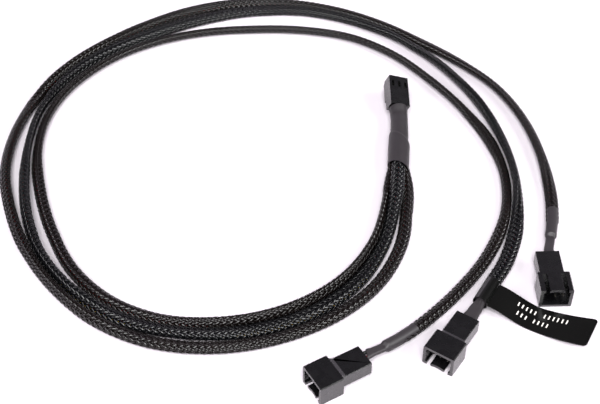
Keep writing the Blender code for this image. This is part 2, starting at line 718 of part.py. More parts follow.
def leg_spot(name):
    # the three sleeves sit in a triangle, the middle one on top
    return {
        "leg_a": (-SLEEVE_SPREAD * math.sin(math.pi / 3), -SLEEVE_SPREAD / 2),
        "leg_b": (0.0, SLEEVE_SPREAD),
        "leg_c": (SLEEVE_SPREAD * math.sin(math.pi / 3), -SLEEVE_SPREAD / 2),
    }[name]


def collar_entry(name):
    low, high, ahead, right = collar_axis()
    across, up = leg_spot(name)
    shift = right * across + Vector((0, 0, up))
    return [low + ahead * SLEEVE_IN_COLLAR + shift, low + ahead * SLEEVE_IN_COLLAR / 2 + shift, low + shift]


def build_collar(finishes):
    low, high, ahead, right = collar_axis()
    path = Path([low - ahead, low, high, high + ahead])
    inner = COLLAR_RADIUS - COLLAR_WALL
    # the collar tapers on to the trunk, and keeps clear of it
    neck = max(TRUNK_RADIUS + SHRINK_CLEARANCE * 0.6, inner * 0.9)
    stations = [(1.0 + s, inner, inner) for s in (0.0, COLLAR_LENGTH / 2, COLLAR_LENGTH - COLLAR_NECK)]
    stations += [(1.0 + COLLAR_LENGTH - COLLAR_NECK / 2, (inner + neck) / 2, (inner + neck) / 2)]
    stations += [(1.0 + COLLAR_LENGTH, neck, neck)]
    add_shrink_tube("splitter_collar", path, stations, COLLAR_WALL, right, finishes["black_shrink"])


def trunk_path():
    low, high, ahead, right = collar_axis()
    back = in_frame(receptacle_frame(), (0, 0, 0))
    out = direction_in(receptacle_frame(), (0, -1, 0))
    start = low + ahead * (SLEEVE_IN_COLLAR + SEAT_GAP)
    reach, height = TRUNK_DIP
    dip = back + out * reach
    dip.z = height
    points = [start, low + ahead * (COLLAR_LENGTH - COLLAR_NECK), high, high.lerp(dip, 0.5), dip, back + out * 1.2, back]
    points[3].z = (high.z + height) / 2
    return Path(smooth_route(points, ROUTE_STEP))


def build_trunk(finishes):
    low, high, ahead, right = collar_axis()
    path = trunk_path()
    ring = [math.radians(60 * k) for k in range(6)]
    hexagon = [(WIRE_PITCH * math.cos(a), WIRE_PITCH * math.sin(a)) for a in ring]
    near = WIRE_PITCH / 2
    # each wire's place in the trunk, its leg, its place at the sleeve's end, and its colour
    wires = []
    for leg, turns, along in (("leg_a", (180, 240), 300), ("leg_c", (0, 300), 240)):
        centre = leg_spot(leg)
        lean = math.radians(along)
        for turn, way, colour in zip(turns, (-1, 1), ("black_wire", "red_wire")):
            start = (centre[0] + way * near * math.cos(lean), centre[1] + way * near * math.sin(lean))
            wires.append((leg, hexagon[turn // 60], start, colour))
    top = leg_spot("leg_b")
    wires.append(("leg_b", hexagon[2], (top[0] - near, top[1] + 0.4), "black_wire"))
    wires.append(("leg_b", hexagon[1], (top[0] + near, top[1] + 0.4), "red_wire"))
    wires.append(("leg_b", (0.0, 0.0), (top[0], top[1] - near * 1.33), "yellow_wire"))
    for number, (leg, place, start, colour) in enumerate(wires, 1):
        points = []
        for s in even_steps(0.0, path.length - SEAT_GAP, 2.4):
            heading = path.heading(s)
            side = (right - right.dot(heading) * heading).normalized()
            up = side.cross(heading)
            share = ease(s / 6.0)
            u = start[0] + (place[0] - start[0]) * share
            v = start[1] + (place[1] - start[1]) * share
            points.append(path.at(s) + side * u + up * v)
        add_cord("trunk_wire_%d" % number, points, WIRE_RADIUS, finishes[colour])

    begin = COLLAR_LENGTH - SLEEVE_IN_COLLAR - COLLAR_NECK * 1.4
    wall = TRUNK_RADIUS - TRUNK_INNER_RADIUS
    stations = []
    for s in even_steps(begin, path.length - SEAT_GAP, 2.2):
        flare = ease(1 - (path.length - s) / TRUNK_MOUTH_LENGTH)
        inner = TRUNK_INNER_RADIUS + (TRUNK_MOUTH_RADIUS - TRUNK_RADIUS) * flare
        stations.append((s, inner, inner))
    add_shrink_tube("trunk_heat_shrink", path, stations, wall, right, finishes["black_shrink"])


# Flag label on the middle leg


def circle(radius, count=24):
    turns = [2 * math.pi * i / count for i in range(count)]
    return [(radius * math.cos(t), radius * math.sin(t)) for t in turns]


def flag_height(share, begin):
    # the tail comes down to the surface, then curls up again towards its end
    rest = FLAG_LIFT + FLAG_THICKNESS / 2
    if share < FLAG_TOUCH:
        return rest + (begin - rest) * (1 - ease(share / FLAG_TOUCH))
    return rest + FLAG_RISE * ((share - FLAG_TOUCH) / (1 - FLAG_TOUCH)) ** FLAG_CURL


def build_flag(path, finishes):
    # the label is wrapped once round the leg, and its two ends are stuck back to back as a tail
    leg = LEGS["leg_b"]
    low_end = path.length - FLAG_FROM_PLUG
    a, b = path.at(low_end - FLAG_WIDTH), path.at(low_end)
    centre = (a + b) / 2
    out = Vector((math.cos(FLAG_HEADING), math.sin(FLAG_HEADING), 0))
    flat = Vector((-out.y, out.x, 0))
    along = (a - b).normalized()
    over = out.cross(along).normalized()
    aside = along.cross(over)
    frame = Matrix((
        (aside.x, along.x, over.x, centre.x * MM),
        (aside.y, along.y, over.y, centre.y * MM),
        (aside.z, along.z, over.z, centre.z * MM),
        (0, 0, 0, 1),
    ))
    bore = leg["radius"] + SHRINK_CLEARANCE + SHRINK_WALL + FLAG_CLEARANCE
    outer = bore + FLAG_THICKNESS
    half = FLAG_WIDTH / 2

    ring = bmesh.new()
    add_prism(ring, circle(outer), -half, half)
    ring.transform(frame)
    mesh = mesh_from(ring, "flag_label")

    begin = outer - FLAG_THICKNESS / 2
    turns = [math.radians(t) for t in (30, 55, 75, 90)]
    straight = FLAG_LENGTH - FLAG_CORNER
    rows = [(x, half) for x in even_steps(begin, straight, 1.8)]
    rows += [(straight + FLAG_CORNER * math.sin(t), half - FLAG_CORNER * (1 - math.cos(t))) for t in turns]
    tail = bmesh.new()
    loops = []
    for x, reach in rows:
        share = (x - begin) / (FLAG_LENGTH - begin)
        middle = flag_height(share, centre.z)
        tilt = FLAG_TILT * max(0.0, (share - FLAG_TOUCH) / (1 - FLAG_TOUCH))
        loop = []
        for y, lift in ((-reach, -0.5), (reach, -0.5), (reach, 0.5), (-reach, 0.5)):
            place = centre + out * x + flat * y
            place.z = middle + tilt * y + lift * FLAG_THICKNESS
            loop.append(tail.verts.new(place * MM))
        loops.append(loop)
    tail.faces.new(loops[0])
    tail.faces.new(loops[-1][::-1])
    for p, q in zip(loops, loops[1:]):
        for i in range(4):
            j = (i + 1) % 4
            tail.faces.new((p[j], p[i], q[i], q[j]))
    mesh = combine(mesh, mesh_from(tail, "tail"), "UNION")
    hollow = bmesh.new()
    add_prism(hollow, circle(bore), -half - 1, half + 1)
    hollow.transform(frame)
    mesh = combine(mesh, mesh_from(hollow, "hollow"), "DIFFERENCE")
    mesh.name = "flag_label"
    link_object("flag_label", mesh, finishes["black_film"])


def main():
    clear_scene()
    finishes = {name: make_finish(name) for name in FINISHES}
    build_receptacle(finishes)
    build_trunk(finishes)
    build_collar(finishes)
    housing = plug_housing_mesh()
    paths = {name: build_leg(name, finishes) for name in LEGS}
    for name, plug in PLUGS.items():
        link_object(name + "_housing", housing.copy(), finishes["black_nylon"], plug_frame(plug))
    build_flag(paths["leg_b"], finishes)
    for name, path in paths.items():
        print("%s runs %.1f mm from the collar to its plug" % (name, path.length - SLEEVE_IN_COLLAR))


main()
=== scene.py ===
# Fan splitter cable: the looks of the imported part. Lengths are in metres unless a name ends in Mm.

import json
import math

import bmesh
import bpy
from mathutils import Matrix, Vector, noise
from mathutils.kdtree import KDTree


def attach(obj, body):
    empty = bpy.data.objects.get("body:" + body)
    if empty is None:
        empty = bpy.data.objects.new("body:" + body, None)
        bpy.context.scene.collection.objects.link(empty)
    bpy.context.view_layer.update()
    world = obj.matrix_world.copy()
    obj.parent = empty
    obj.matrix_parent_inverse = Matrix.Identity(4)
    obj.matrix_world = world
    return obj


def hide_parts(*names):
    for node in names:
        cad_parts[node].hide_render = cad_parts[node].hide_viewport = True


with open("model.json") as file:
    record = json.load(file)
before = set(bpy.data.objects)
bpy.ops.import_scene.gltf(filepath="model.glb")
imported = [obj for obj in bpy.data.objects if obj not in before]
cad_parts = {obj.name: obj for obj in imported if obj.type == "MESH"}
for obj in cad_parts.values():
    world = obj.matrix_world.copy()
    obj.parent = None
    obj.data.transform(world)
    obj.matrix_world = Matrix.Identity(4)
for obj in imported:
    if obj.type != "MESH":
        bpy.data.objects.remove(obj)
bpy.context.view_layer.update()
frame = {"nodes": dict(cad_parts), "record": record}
nodes = frame["nodes"]
mm = 0.001

# Camera: the photograph's angle, fitted to the corners of the connectors
camera = {"place": (-0.0445, -0.292, 0.306), "tilt": 45.0, "lens": 74.5}
cameraData = bpy.data.cameras.new("photoCamera")
cameraData.lens = camera["lens"]
cameraItem = bpy.data.objects.new("photoCamera", cameraData)
cameraItem.location = camera["place"]
cameraItem.rotation_euler = (math.radians(camera["tilt"]), 0.0, 0.0)
bpy.context.scene.collection.objects.link(cameraItem)
bpy.context.scene.camera = cameraItem
print("camera is in place")


# Helpers for nodes, colours and pieces


def addNode(tree, kind, inputs=None, **settings):
    # an input may be a value, a socket, or a node whose first output is meant
    node = tree.nodes.new(kind)
    for key, value in settings.items():
        setattr(node, key, value)
    for key, value in (inputs or {}).items():
        if isinstance(value, bpy.types.Node):
            value = value.outputs[0]
        if isinstance(value, bpy.types.NodeSocket):
            tree.links.new(value, node.inputs[key])
        else:
            node.inputs[key].default_value = value
    return node


def fromHex(code):
    # sRGB hex to linear colour
    channels = []
    for i in (0, 2, 4):
        c = int(code[i:i + 2], 16) / 255
        channels.append(c / 12.92 if c <= 0.04045 else ((c + 0.055) / 1.055) ** 2.4)
    return (*channels, 1.0)


def startMaterial(name, finish):
    # one Principled shader with the finish's own constants
    material = bpy.data.materials.new(name)
    material.use_nodes = True
    tree = material.node_tree
    shader = tree.nodes["Principled BSDF"]
    shader.inputs["Roughness"].default_value = finish["roughness"]
    shader.inputs["Metallic"].default_value = finish.get("metallic", 0.0)
    if "ior" in finish:
        shader.inputs["IOR"].default_value = finish["ior"]
    return material, tree, shader


def linkPiece(name, mesh, material=None):
    item = bpy.data.objects.new(name, mesh)
    if material is not None:
        mesh.materials.clear()
        mesh.materials.append(material)
    bpy.context.scene.collection.objects.link(item)
    return item


def bridge(bm, first, second):
    # a ring of four-sided faces between two loops of points
    for i in range(len(first)):
        j = (i + 1) % len(first)
        bm.faces.new((first[i], first[j], second[j], second[i]))


def pieceFrom(bm, name, material, sharp=None):
    # sharp: the degrees from which an edge of a smooth surface stays sharp
    bmesh.ops.recalc_face_normals(bm, faces=bm.faces)
    mesh = bpy.data.meshes.new(name)
    bm.to_mesh(mesh)
    bm.free()
    if sharp is not None:
        mesh.shade_smooth()
        mesh.set_sharp_from_angle(angle=math.radians(sharp))
    return linkPiece(name, mesh, material)


def settle(item):
    # the modifiers' result becomes the piece's own plain mesh
    graph = bpy.context.evaluated_depsgraph_get()
    mesh = bpy.data.meshes.new_from_object(item.evaluated_get(graph))
    item.modifiers.clear()
    item.data = mesh
    return item


def addPiece(item, slot, *replaced):
    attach(item, "root")
    if replaced:
        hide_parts(*replaced)
    return item


# Materials. cloud: noise cells per metre; detail: the noise's octaves; spread: how far the roughness
# goes below and above its middle

# Nylon 6, injection moulded: near black, satin, with a very fine spark-eroded grain
nylon = {"roughness": 0.27, "spread": (0.05, 0.06), "ior": 1.8, "dark": "040405", "light": "09090b",
         "cloud": 400.0, "detail": 3.0, "grainMm": 0.09, "depthMm": 0.0008}
# Polyolefin shrink tube, extruded and shrunk: dark grey, waxy, faintly blotched
shrink = {"roughness": 0.52, "spread": (0.1, 0.1), "ior": 1.48, "dark": "221f22", "light": "2c282b",
          "blotchMm": 1.6, "detail": 4.0, "depthMm": 0.02}
# Polyester monofilament, drawn and braided: black and glossy, with fine threads side by side in a strand
filament = {"roughness": 0.21, "ior": 1.42, "cloud": 120.0, "detail": 3.0, "threads": 2.5, "depthMm": 0.004}
# Polyester label film, laminated: black and glossy, slightly wavy
film = {"roughness": 0.2, "ior": 1.55, "dark": "070807", "light": "0d0d0c", "grainMm": 9.0, "depthMm": 0.04}
# Vinyl wire insulation, extruded: even in colour, with a low sheen
vinyl = {"roughness": 0.45, "ior": 1.5, "grainMm": 0.5, "depthMm": 0.01}
# Tin plate on stamped brass: slightly dull, with a fine grain; its colour is darkened far below that of new
# plating as painted shade, since the contacts sit deep in the housings' mouths and windows
tin = {"roughness": 0.3, "metallic": 1.0, "dark": "64625c", "light": "807d76", "grainMm": 0.2,
       "depthMm": 0.004}


def objectNoise(tree, scale, detail=2.0):
    place = addNode(tree, "ShaderNodeTexCoord").outputs["Object"]
    return addNode(tree, "ShaderNodeTexNoise", {"Vector": place, "Scale": scale, "Detail": detail})


def paint(tree, shader, factor, dark, light):
    # the base colour goes from dark to light with the factor
    ramp = addNode(tree, "ShaderNodeValToRGB", {0: factor})
    ramp.color_ramp.elements[0].color = fromHex(dark)
    ramp.color_ramp.elements[1].color = fromHex(light)
    tree.links.new(ramp.outputs[0], shader.inputs["Base Color"])


def roughen(tree, shader, factor, finish):
    below, above = finish["spread"]
    rough = addNode(tree, "ShaderNodeMapRange",
                    {0: factor, 3: finish["roughness"] - below, 4: finish["roughness"] + above})
    tree.links.new(rough.outputs[0], shader.inputs["Roughness"])


def bumpFrom(tree, shader, height, finish):
    inputs = {"Height": height, "Strength": 1.0, "Distance": finish["depthMm"] * mm}
    bump = addNode(tree, "ShaderNodeBump", inputs)
    tree.links.new(bump.outputs[0], shader.inputs["Normal"])


def nylonMaterial():
    material, tree, shader = startMaterial("mouldedNylon", nylon)
    cloud = objectNoise(tree, nylon["cloud"], nylon["detail"])
    paint(tree, shader, cloud, nylon["dark"], nylon["light"])
    roughen(tree, shader, cloud, nylon)
    bumpFrom(tree, shader, objectNoise(tree, 1 / (nylon["grainMm"] * mm)), nylon)
    return material


def shrinkMaterial():
    material, tree, shader = startMaterial("shrunkPolyolefin", shrink)
    blotch = objectNoise(tree, 1 / (shrink["blotchMm"] * mm), shrink["detail"])
    paint(tree, shader, blotch, shrink["dark"], shrink["light"])
    roughen(tree, shader, blotch, shrink)
    bumpFrom(tree, shader, blotch, shrink)
    return material


def filamentMaterial(name, dark, light):
    material, tree, shader = startMaterial(name, filament)
    paint(tree, shader, objectNoise(tree, filament["cloud"], filament["detail"]), dark, light)
    # the strands' own attribute runs from -1 to 1 across each of them
    side = addNode(tree, "ShaderNodeAttribute", attribute_name="filament").outputs["Fac"]
    turns = addNode(tree, "ShaderNodeMath", {0: side, 1: math.pi * filament["threads"]}, operation="MULTIPLY")
    bumpFrom(tree, shader, addNode(tree, "ShaderNodeMath", {0: turns}, operation="COSINE"), filament)
    return material


def grainedMaterial(name, finish, dark, light):
    # one noise gives both the colour and the relief
    material, tree, shader = startMaterial(name, finish)
    grain = objectNoise(tree, 1 / (finish["grainMm"] * mm))
    paint(tree, shader, grain, dark, light)
    bumpFrom(tree, shader, grain, finish)
    return material


finishes = {
    "nylon": nylonMaterial(),
    "shrink": shrinkMaterial(),
    "blackFilament": filamentMaterial("blackMonofilament", "040405", "0a0b0d"),
    "brownFilament": filamentMaterial("brownBlackMonofilament", "060404", "120d0b"),
    "film": grainedMaterial("laminatedFilm", film, film["dark"], film["light"]),
    "wire_black": grainedMaterial("blackVinyl", vinyl, "0c0c0d", "161616"),
    "wire_red": grainedMaterial("redVinyl", vinyl, "6a0a0e", "861418"),
    "wire_yellow": grainedMaterial("yellowVinyl", vinyl, "7d6312", "94781a"),
    # the contacts' plating, its colour darkened as painted shade
    "tin": grainedMaterial("tinPlatedBrassInPaintedShade", tin, tin["dark"], tin["light"]),
    "ink": grainedMaterial("whiteInk", vinyl, "cfccc6", "e2dfd8"),
}
print("materials are made")


# Routes of the three legs, the same as the solids'

# inside, spread: how far the legs reach into it, and stand from its axis; lip: how much it closes round
# the trunk, and over what length; cut, hem: how far its two ends are set back at their left and right
collar = {"centre": (-0.00895, 0.037, 0.0039), "heading": -4.8, "length": 0.0155, "radius": 0.0038,
          "inside": 0.005, "spread": 0.00185, "belly": 0.00006, "lip": (0.00022, 0.0012),
          "cut": (0.0, 0.005), "cutReach": 0.008, "hem": (0.0012, 0.0036), "hemReach": 0.006}
plug = {"pitch": 0.00254, "bodyLength": 0.0107, "axisHeight": 0.0043, "height": 0.0078, "runIn": 0.0025}
# side: -1 where the plug lies upside down; ways: its filled places, counted from the middle one
plugs = {
    "plug_a": {"place": (-0.034, -0.0637), "yaw": 120.6, "side": 1, "ways": (0, 1)},
    "plug_b": {"place": (0.00205, -0.0519), "yaw": 146.3, "side": 1, "ways": (-1, 0, 1)},
    "plug_c": {"place": (0.0371, -0.0255), "yaw": 181.5, "side": -1, "ways": (0, 1)},
}
wireColours = {1: "wire_black", 0: "wire_red", -1: "wire_yellow"}
routing = {"step": 0.0005, "offFloor": 0.00003}
# radius: the solid cord's; tail: from the sleeve's end to the plug; overlap: how far the shrink tube covers
# the sleeve; step: where the tube narrows, and over what length; cut: as the collar's; angle: the leg's
# place round the collar's axis; half: the sleeve's half width and half height; mouth: the same where a tube
# squeezes it; aside: the side it goes to when it leaves the collar; rolls: distance along it, and degrees
# its right side is lifted
legs = {
    "leg_a": {
        "plug": "plug_a", "radius": 0.00145, "tail": 0.0095, "overlap": 0.012,
        "step": (-0.0003, 0.0012), "cut": (0.0004, 0.0019), "angle": 210,
        "finish": "brownFilament", "half": (0.0019, 0.00115), "mouth": (0.00178, 0.00145), "aside": -1,
        "rolls": ((0, 60), (0.008, 75), (0.09, 70), (0.13, 20), (0.24, 17), (0.32, 40), (0.44, 40), (0.46, 0),
                  (0.6, 0)),
        "route": [
            (-0.0133, 0.0202, 0.0021), (-0.0151, 0.0106, 0.0016), (-0.0203, -0.0079, 0.00145),
            (-0.0311, -0.0245, 0.00145), (-0.0471, -0.036, 0.00145), (-0.0662, -0.0419, 0.00145),
            (-0.0864, -0.0412, 0.00145), (-0.1048, -0.0335, 0.00145), (-0.1188, -0.02, 0.00145),
            (-0.1283, -0.0025, 0.00145), (-0.1351, 0.0166, 0.00145), (-0.1391, 0.0363, 0.00145),
            (-0.1385, 0.0559, 0.00145), (-0.1318, 0.0744, 0.00145), (-0.1192, 0.0902, 0.00145),
            (-0.1026, 0.1016, 0.00145), (-0.0839, 0.108, 0.00145), (-0.0642, 0.1103, 0.00145),
            (-0.0439, 0.1098, 0.00145), (-0.0246, 0.105, 0.00145), (-0.0083, 0.0942, 0.00145),
            (0.0049, 0.079, 0.00145), (0.016, 0.0622, 0.00145), (0.0244, 0.0442, 0.00145),
            (0.0279, 0.0247, 0.00145), (0.0255, 0.0048, 0.00145), (0.0176, -0.0135, 0.00145),
            (0.0059, -0.0296, 0.0016), (-0.0082, -0.0443, 0.0021), (-0.0174, -0.0517, 0.003),
        ],
    },
    "leg_b": {
        "plug": "plug_b", "radius": 0.0016, "tail": 0.0104, "overlap": 0.006,
        "step": (0.0004, 0.001), "cut": (0.0, 0.0), "angle": 90,
        "finish": "blackFilament", "half": (0.0023, 0.0013), "mouth": (0.0021, 0.0014), "aside": 0,
        "rolls": ((0, 0), (0.13, 0), (0.18, 60), (0.25, 50), (0.3, -20), (0.4, 0), (0.46, 60), (0.48, 85),
                  (0.52, 50), (0.545, 0), (0.6, 0)),
        "route": [
            (-0.0104, 0.02, 0.0047), (-0.0117, 0.0112, 0.0036), (-0.0166, -0.0083, 0.0018),
            (-0.0265, -0.0256, 0.0016), (-0.0416, -0.0383, 0.0016), (-0.0603, -0.0451, 0.0016),
            (-0.0804, -0.0461, 0.0016), (-0.0997, -0.0413, 0.0016), (-0.1164, -0.0307, 0.0016),
            (-0.1292, -0.0152, 0.0016), (-0.1373, 0.003, 0.0016), (-0.1416, 0.0224, 0.0016),
            (-0.1429, 0.0423, 0.0016), (-0.1407, 0.0624, 0.0016), (-0.1333, 0.0806, 0.0016),
            (-0.1201, 0.0953, 0.0016), (-0.1036, 0.1069, 0.0016), (-0.0858, 0.1162, 0.0016),
            (-0.0669, 0.1222, 0.0016), (-0.0471, 0.123, 0.0016), (-0.0278, 0.118, 0.0016),
            (-0.0104, 0.1079, 0.0016), (0.0041, 0.0943, 0.0016), (0.0156, 0.0781, 0.0016),
            (0.0242, 0.06, 0.0016), (0.0296, 0.0407, 0.0016), (0.0315, 0.0209, 0.0016),
            (0.0292, 0.0012, 0.0016), (0.0236, -0.016, 0.00245), (0.0184, -0.0254, 0.00305),
            (0.014, -0.0329, 0.0032),
        ],
    },
    "leg_c": {
        "plug": "plug_c", "radius": 0.00145, "tail": 0.0105, "overlap": 0.0125,
        "step": (-0.0003, 0.0012), "cut": (0.0, 0.0), "angle": 330,
        "finish": "brownFilament", "half": (0.00195, 0.0012), "mouth": (0.00178, 0.00145), "aside": 1,
        "rolls": ((0, 0), (0.13, 0), (0.18, 35), (0.27, 30), (0.3, -45), (0.36, -30), (0.44, 0), (0.475, 20),
                  (0.5, 45), (0.54, 45), (0.565, 0), (0.6, 0)),
        "route": [
            (-0.0072, 0.0202, 0.0021), (-0.0076, 0.0109, 0.0016), (-0.0108, -0.0086, 0.00145),
            (-0.0198, -0.0262, 0.00145), (-0.0345, -0.0398, 0.00145), (-0.0525, -0.0483, 0.00145),
            (-0.0721, -0.0516, 0.00145), (-0.092, -0.0491, 0.00145), (-0.1099, -0.0406, 0.00145),
            (-0.1246, -0.0271, 0.00145), (-0.136, -0.0106, 0.00145), (-0.1441, 0.0078, 0.00145),
            (-0.1491, 0.0272, 0.00145), (-0.149, 0.047, 0.00145), (-0.1442, 0.0668, 0.00145),
            (-0.1348, 0.0845, 0.00145), (-0.1218, 0.0996, 0.00145), (-0.1063, 0.1123, 0.00145),
            (-0.0889, 0.1222, 0.00145), (-0.0698, 0.1276, 0.00145), (-0.0498, 0.1276, 0.00145),
            (-0.0302, 0.1228, 0.00145), (-0.0125, 0.1138, 0.00145), (0.0035, 0.1018, 0.00145),
            (0.0184, 0.0883, 0.00145), (0.0307, 0.0728, 0.00145), (0.0385, 0.0545, 0.00145),
            (0.0423, 0.0347, 0.00145), (0.0429, 0.018, 0.0019), (0.0416, 0.004, 0.0024),
            (0.0394, -0.0065, 0.0029),
        ],
    },
}


def smoothRoute(points, step):
    # a centripetal Catmull-Rom curve through the points
    pts = [Vector(p) for p in points]
    pts = [2 * pts[0] - pts[1]] + pts + [2 * pts[-1] - pts[-2]]
    dense = []
    for k in range(1, len(pts) - 2):
        p0, p1, p2, p3 = pts[k - 1:k + 3]
        t0 = 0.0
        t1 = t0 + math.sqrt((p1 - p0).length)
        t2 = t1 + math.sqrt((p2 - p1).length)
        t3 = t2 + math.sqrt((p3 - p2).length)
        count = max(2, round((p2 - p1).length / step))
        for i in range(count):
            t = t1 + (t2 - t1) * i / count
            a1 = p0 * ((t1 - t) / (t1 - t0)) + p1 * ((t - t0) / (t1 - t0))
            a2 = p1 * ((t2 - t) / (t2 - t1)) + p2 * ((t - t1) / (t2 - t1))
            a3 = p2 * ((t3 - t) / (t3 - t2)) + p3 * ((t - t2) / (t3 - t2))
            b1 = a1 * ((t2 - t) / (t2 - t0)) + a2 * ((t - t0) / (t2 - t0))
            b2 = a2 * ((t3 - t) / (t3 - t1)) + a3 * ((t - t1) / (t3 - t1))
            dense.append(b1 * ((t2 - t) / (t2 - t1)) + b2 * ((t - t1) / (t2 - t1)))
    dense.append(pts[-2])
    return dense


class Line:
    # a polyline that can be read by the distance along it
    def __init__(self, points):
        self.points = [Vector(p) for p in points]
        self.marks = [0.0]
        for a, b in zip(self.points, self.points[1:]):
            self.marks.append(self.marks[-1] + (b - a).length)
        self.length = self.marks[-1]

    def at(self, distance):
        s = min(max(distance, 0.0), self.length)
        low, high = 0, len(self.marks) - 1
        while high - low > 1:
            middle = (low + high) // 2
            if self.marks[middle] <= s:
                low = middle
            else:
                high = middle
        share = (s - self.marks[low]) / max(1e-9, self.marks[high] - self.marks[low])
        return self.points[low].lerp(self.points[high], share)

    def heading(self, distance, reach=0.0006):
        return (self.at(distance + reach) - self.at(distance - reach)).normalized()


def evenSteps(start, end, step):
    count = max(1, math.ceil((end - start) / step))
    return [start + (end - start) * i / count for i in range(count + 1)]


def ease(share):
    s = min(max(share, 0.0), 1.0)
    return s * s * (3 - 2 * s)


def eased(distance, span):
    # span: where the change starts, and its length
    start, length = span
    return ease((distance - start) / length)


def between(pairs, at):
    # a value read from (place, value) pairs, eased from one to the next
    for (a, low), (b, high) in zip(pairs, pairs[1:]):
        if at <= b:
            return low + (high - low) * ease((at - a) / (b - a))
    return pairs[-1][1]


def collarAxis():
    heading = math.radians(collar["heading"])
    ahead = Vector((-math.sin(heading), math.cos(heading), 0))
    right = Vector((math.cos(heading), math.sin(heading), 0))
    middle = Vector(collar["centre"])
    return middle - ahead * collar["length"] / 2, middle + ahead * collar["length"] / 2, ahead, right


collarLow, collarHigh, collarAhead, collarRight = collarAxis()
up = Vector((0, 0, 1))


def plugFrame(name):
    x, y = plugs[name]["place"]
    lift = 0.0
    turn = Matrix.Rotation(math.radians(plugs[name]["yaw"]), 4, "Z")
    if plugs[name]["side"] < 0:
        lift = plug["height"]
        turn = turn @ Matrix.Rotation(math.pi, 4, "Y")
    return Matrix.Translation((x, y, lift)) @ turn


def legLine(name):
    leg = legs[name]
    angle = math.radians(leg["angle"])
    shift = collarRight * collar["spread"] * math.cos(angle) + up * collar["spread"] * math.sin(angle)
    entry = [collarLow + collarAhead * collar["inside"] * share + shift for share in (1.0, 0.5, 0.0)]
    ways = plugs[leg["plug"]]["ways"]
    place = plugFrame(leg["plug"])
    back = place @ Vector((sum(ways) / len(ways) * plug["pitch"], -plug["bodyLength"], plug["axisHeight"]))
    front = place.to_3x3() @ Vector((0, 1, 0))
    route = entry + leg["route"] + [back - front * plug["runIn"], back]
    floorHeight = leg["radius"] + routing["offFloor"]
    return Line([(p.x, p.y, max(p.z, floorHeight)) for p in smoothRoute(route, routing["step"])])


lines = {name: legLine(name) for name in legs}
print("legs run", {name: round(line.length - collar["inside"], 4) for name, line in lines.items()})


# Braided sleeves

# strands: in all, half of them each way; lay: length of one turn; cover: share of the surface that one
# way's strands cover; wave: how far a strand rises over the next; abrupt: how fast it does; aside: how far
# the outer sleeves stand off beyond the collar; slack: between a held end and its tube; level, narrowest:
# how near in height two sleeves jostle, and how far they give way
braid = {"strands": 16, "lay": 0.0172, "cover": 0.94, "thickness": 0.00024, "wave": 0.00028, "abrupt": 1.2,
         "step": 0.00062, "floorGap": 0.0001, "sides": 6, "aside": 0.0002, "slack": 0.00008, "level": 0.7,
         "narrowest": 0.75}
# from the sleeve's oval to the outermost face of its strands
skin = braid["wave"] + braid["thickness"] / 2
# where the sleeve's form changes, and over what length: the first three from the collar's mouth, the last
# from the sleeve's other end
changes = {"apart": (-0.002, 0.004), "together": (0.013, 0.012), "open": (0.002, 0.012),
           "close": (-0.008, 0.006)}
# pair, triple: pitch from wire to wire in the sleeve, just behind its end, in the tube, and at the housing;
# into: depths in the housing; lean: how far an outer wire stands in from its contact; gather, part, heap:
# changes of the pitch and of the pile, from the sleeve's end; meet: the same, from the housing
insulation = {"radius": 0.0006, "sides": 10, "step": 0.0012, "into": (0.0015, 0.003, 0.0062), "lean": 0.0003,
              "pair": (0.00122, 0.0013, 0.00135, 0.00194), "triple": (0.00112, 0.00074, 0.00125, 0.00175),
              "gather": (-0.006, 0.006), "part": (0.0, 0.005), "meet": (-0.0045, 0.0045),
              "heap": (0.001, 0.004), "heapRise": 0.00062, "axis": 0.0001}


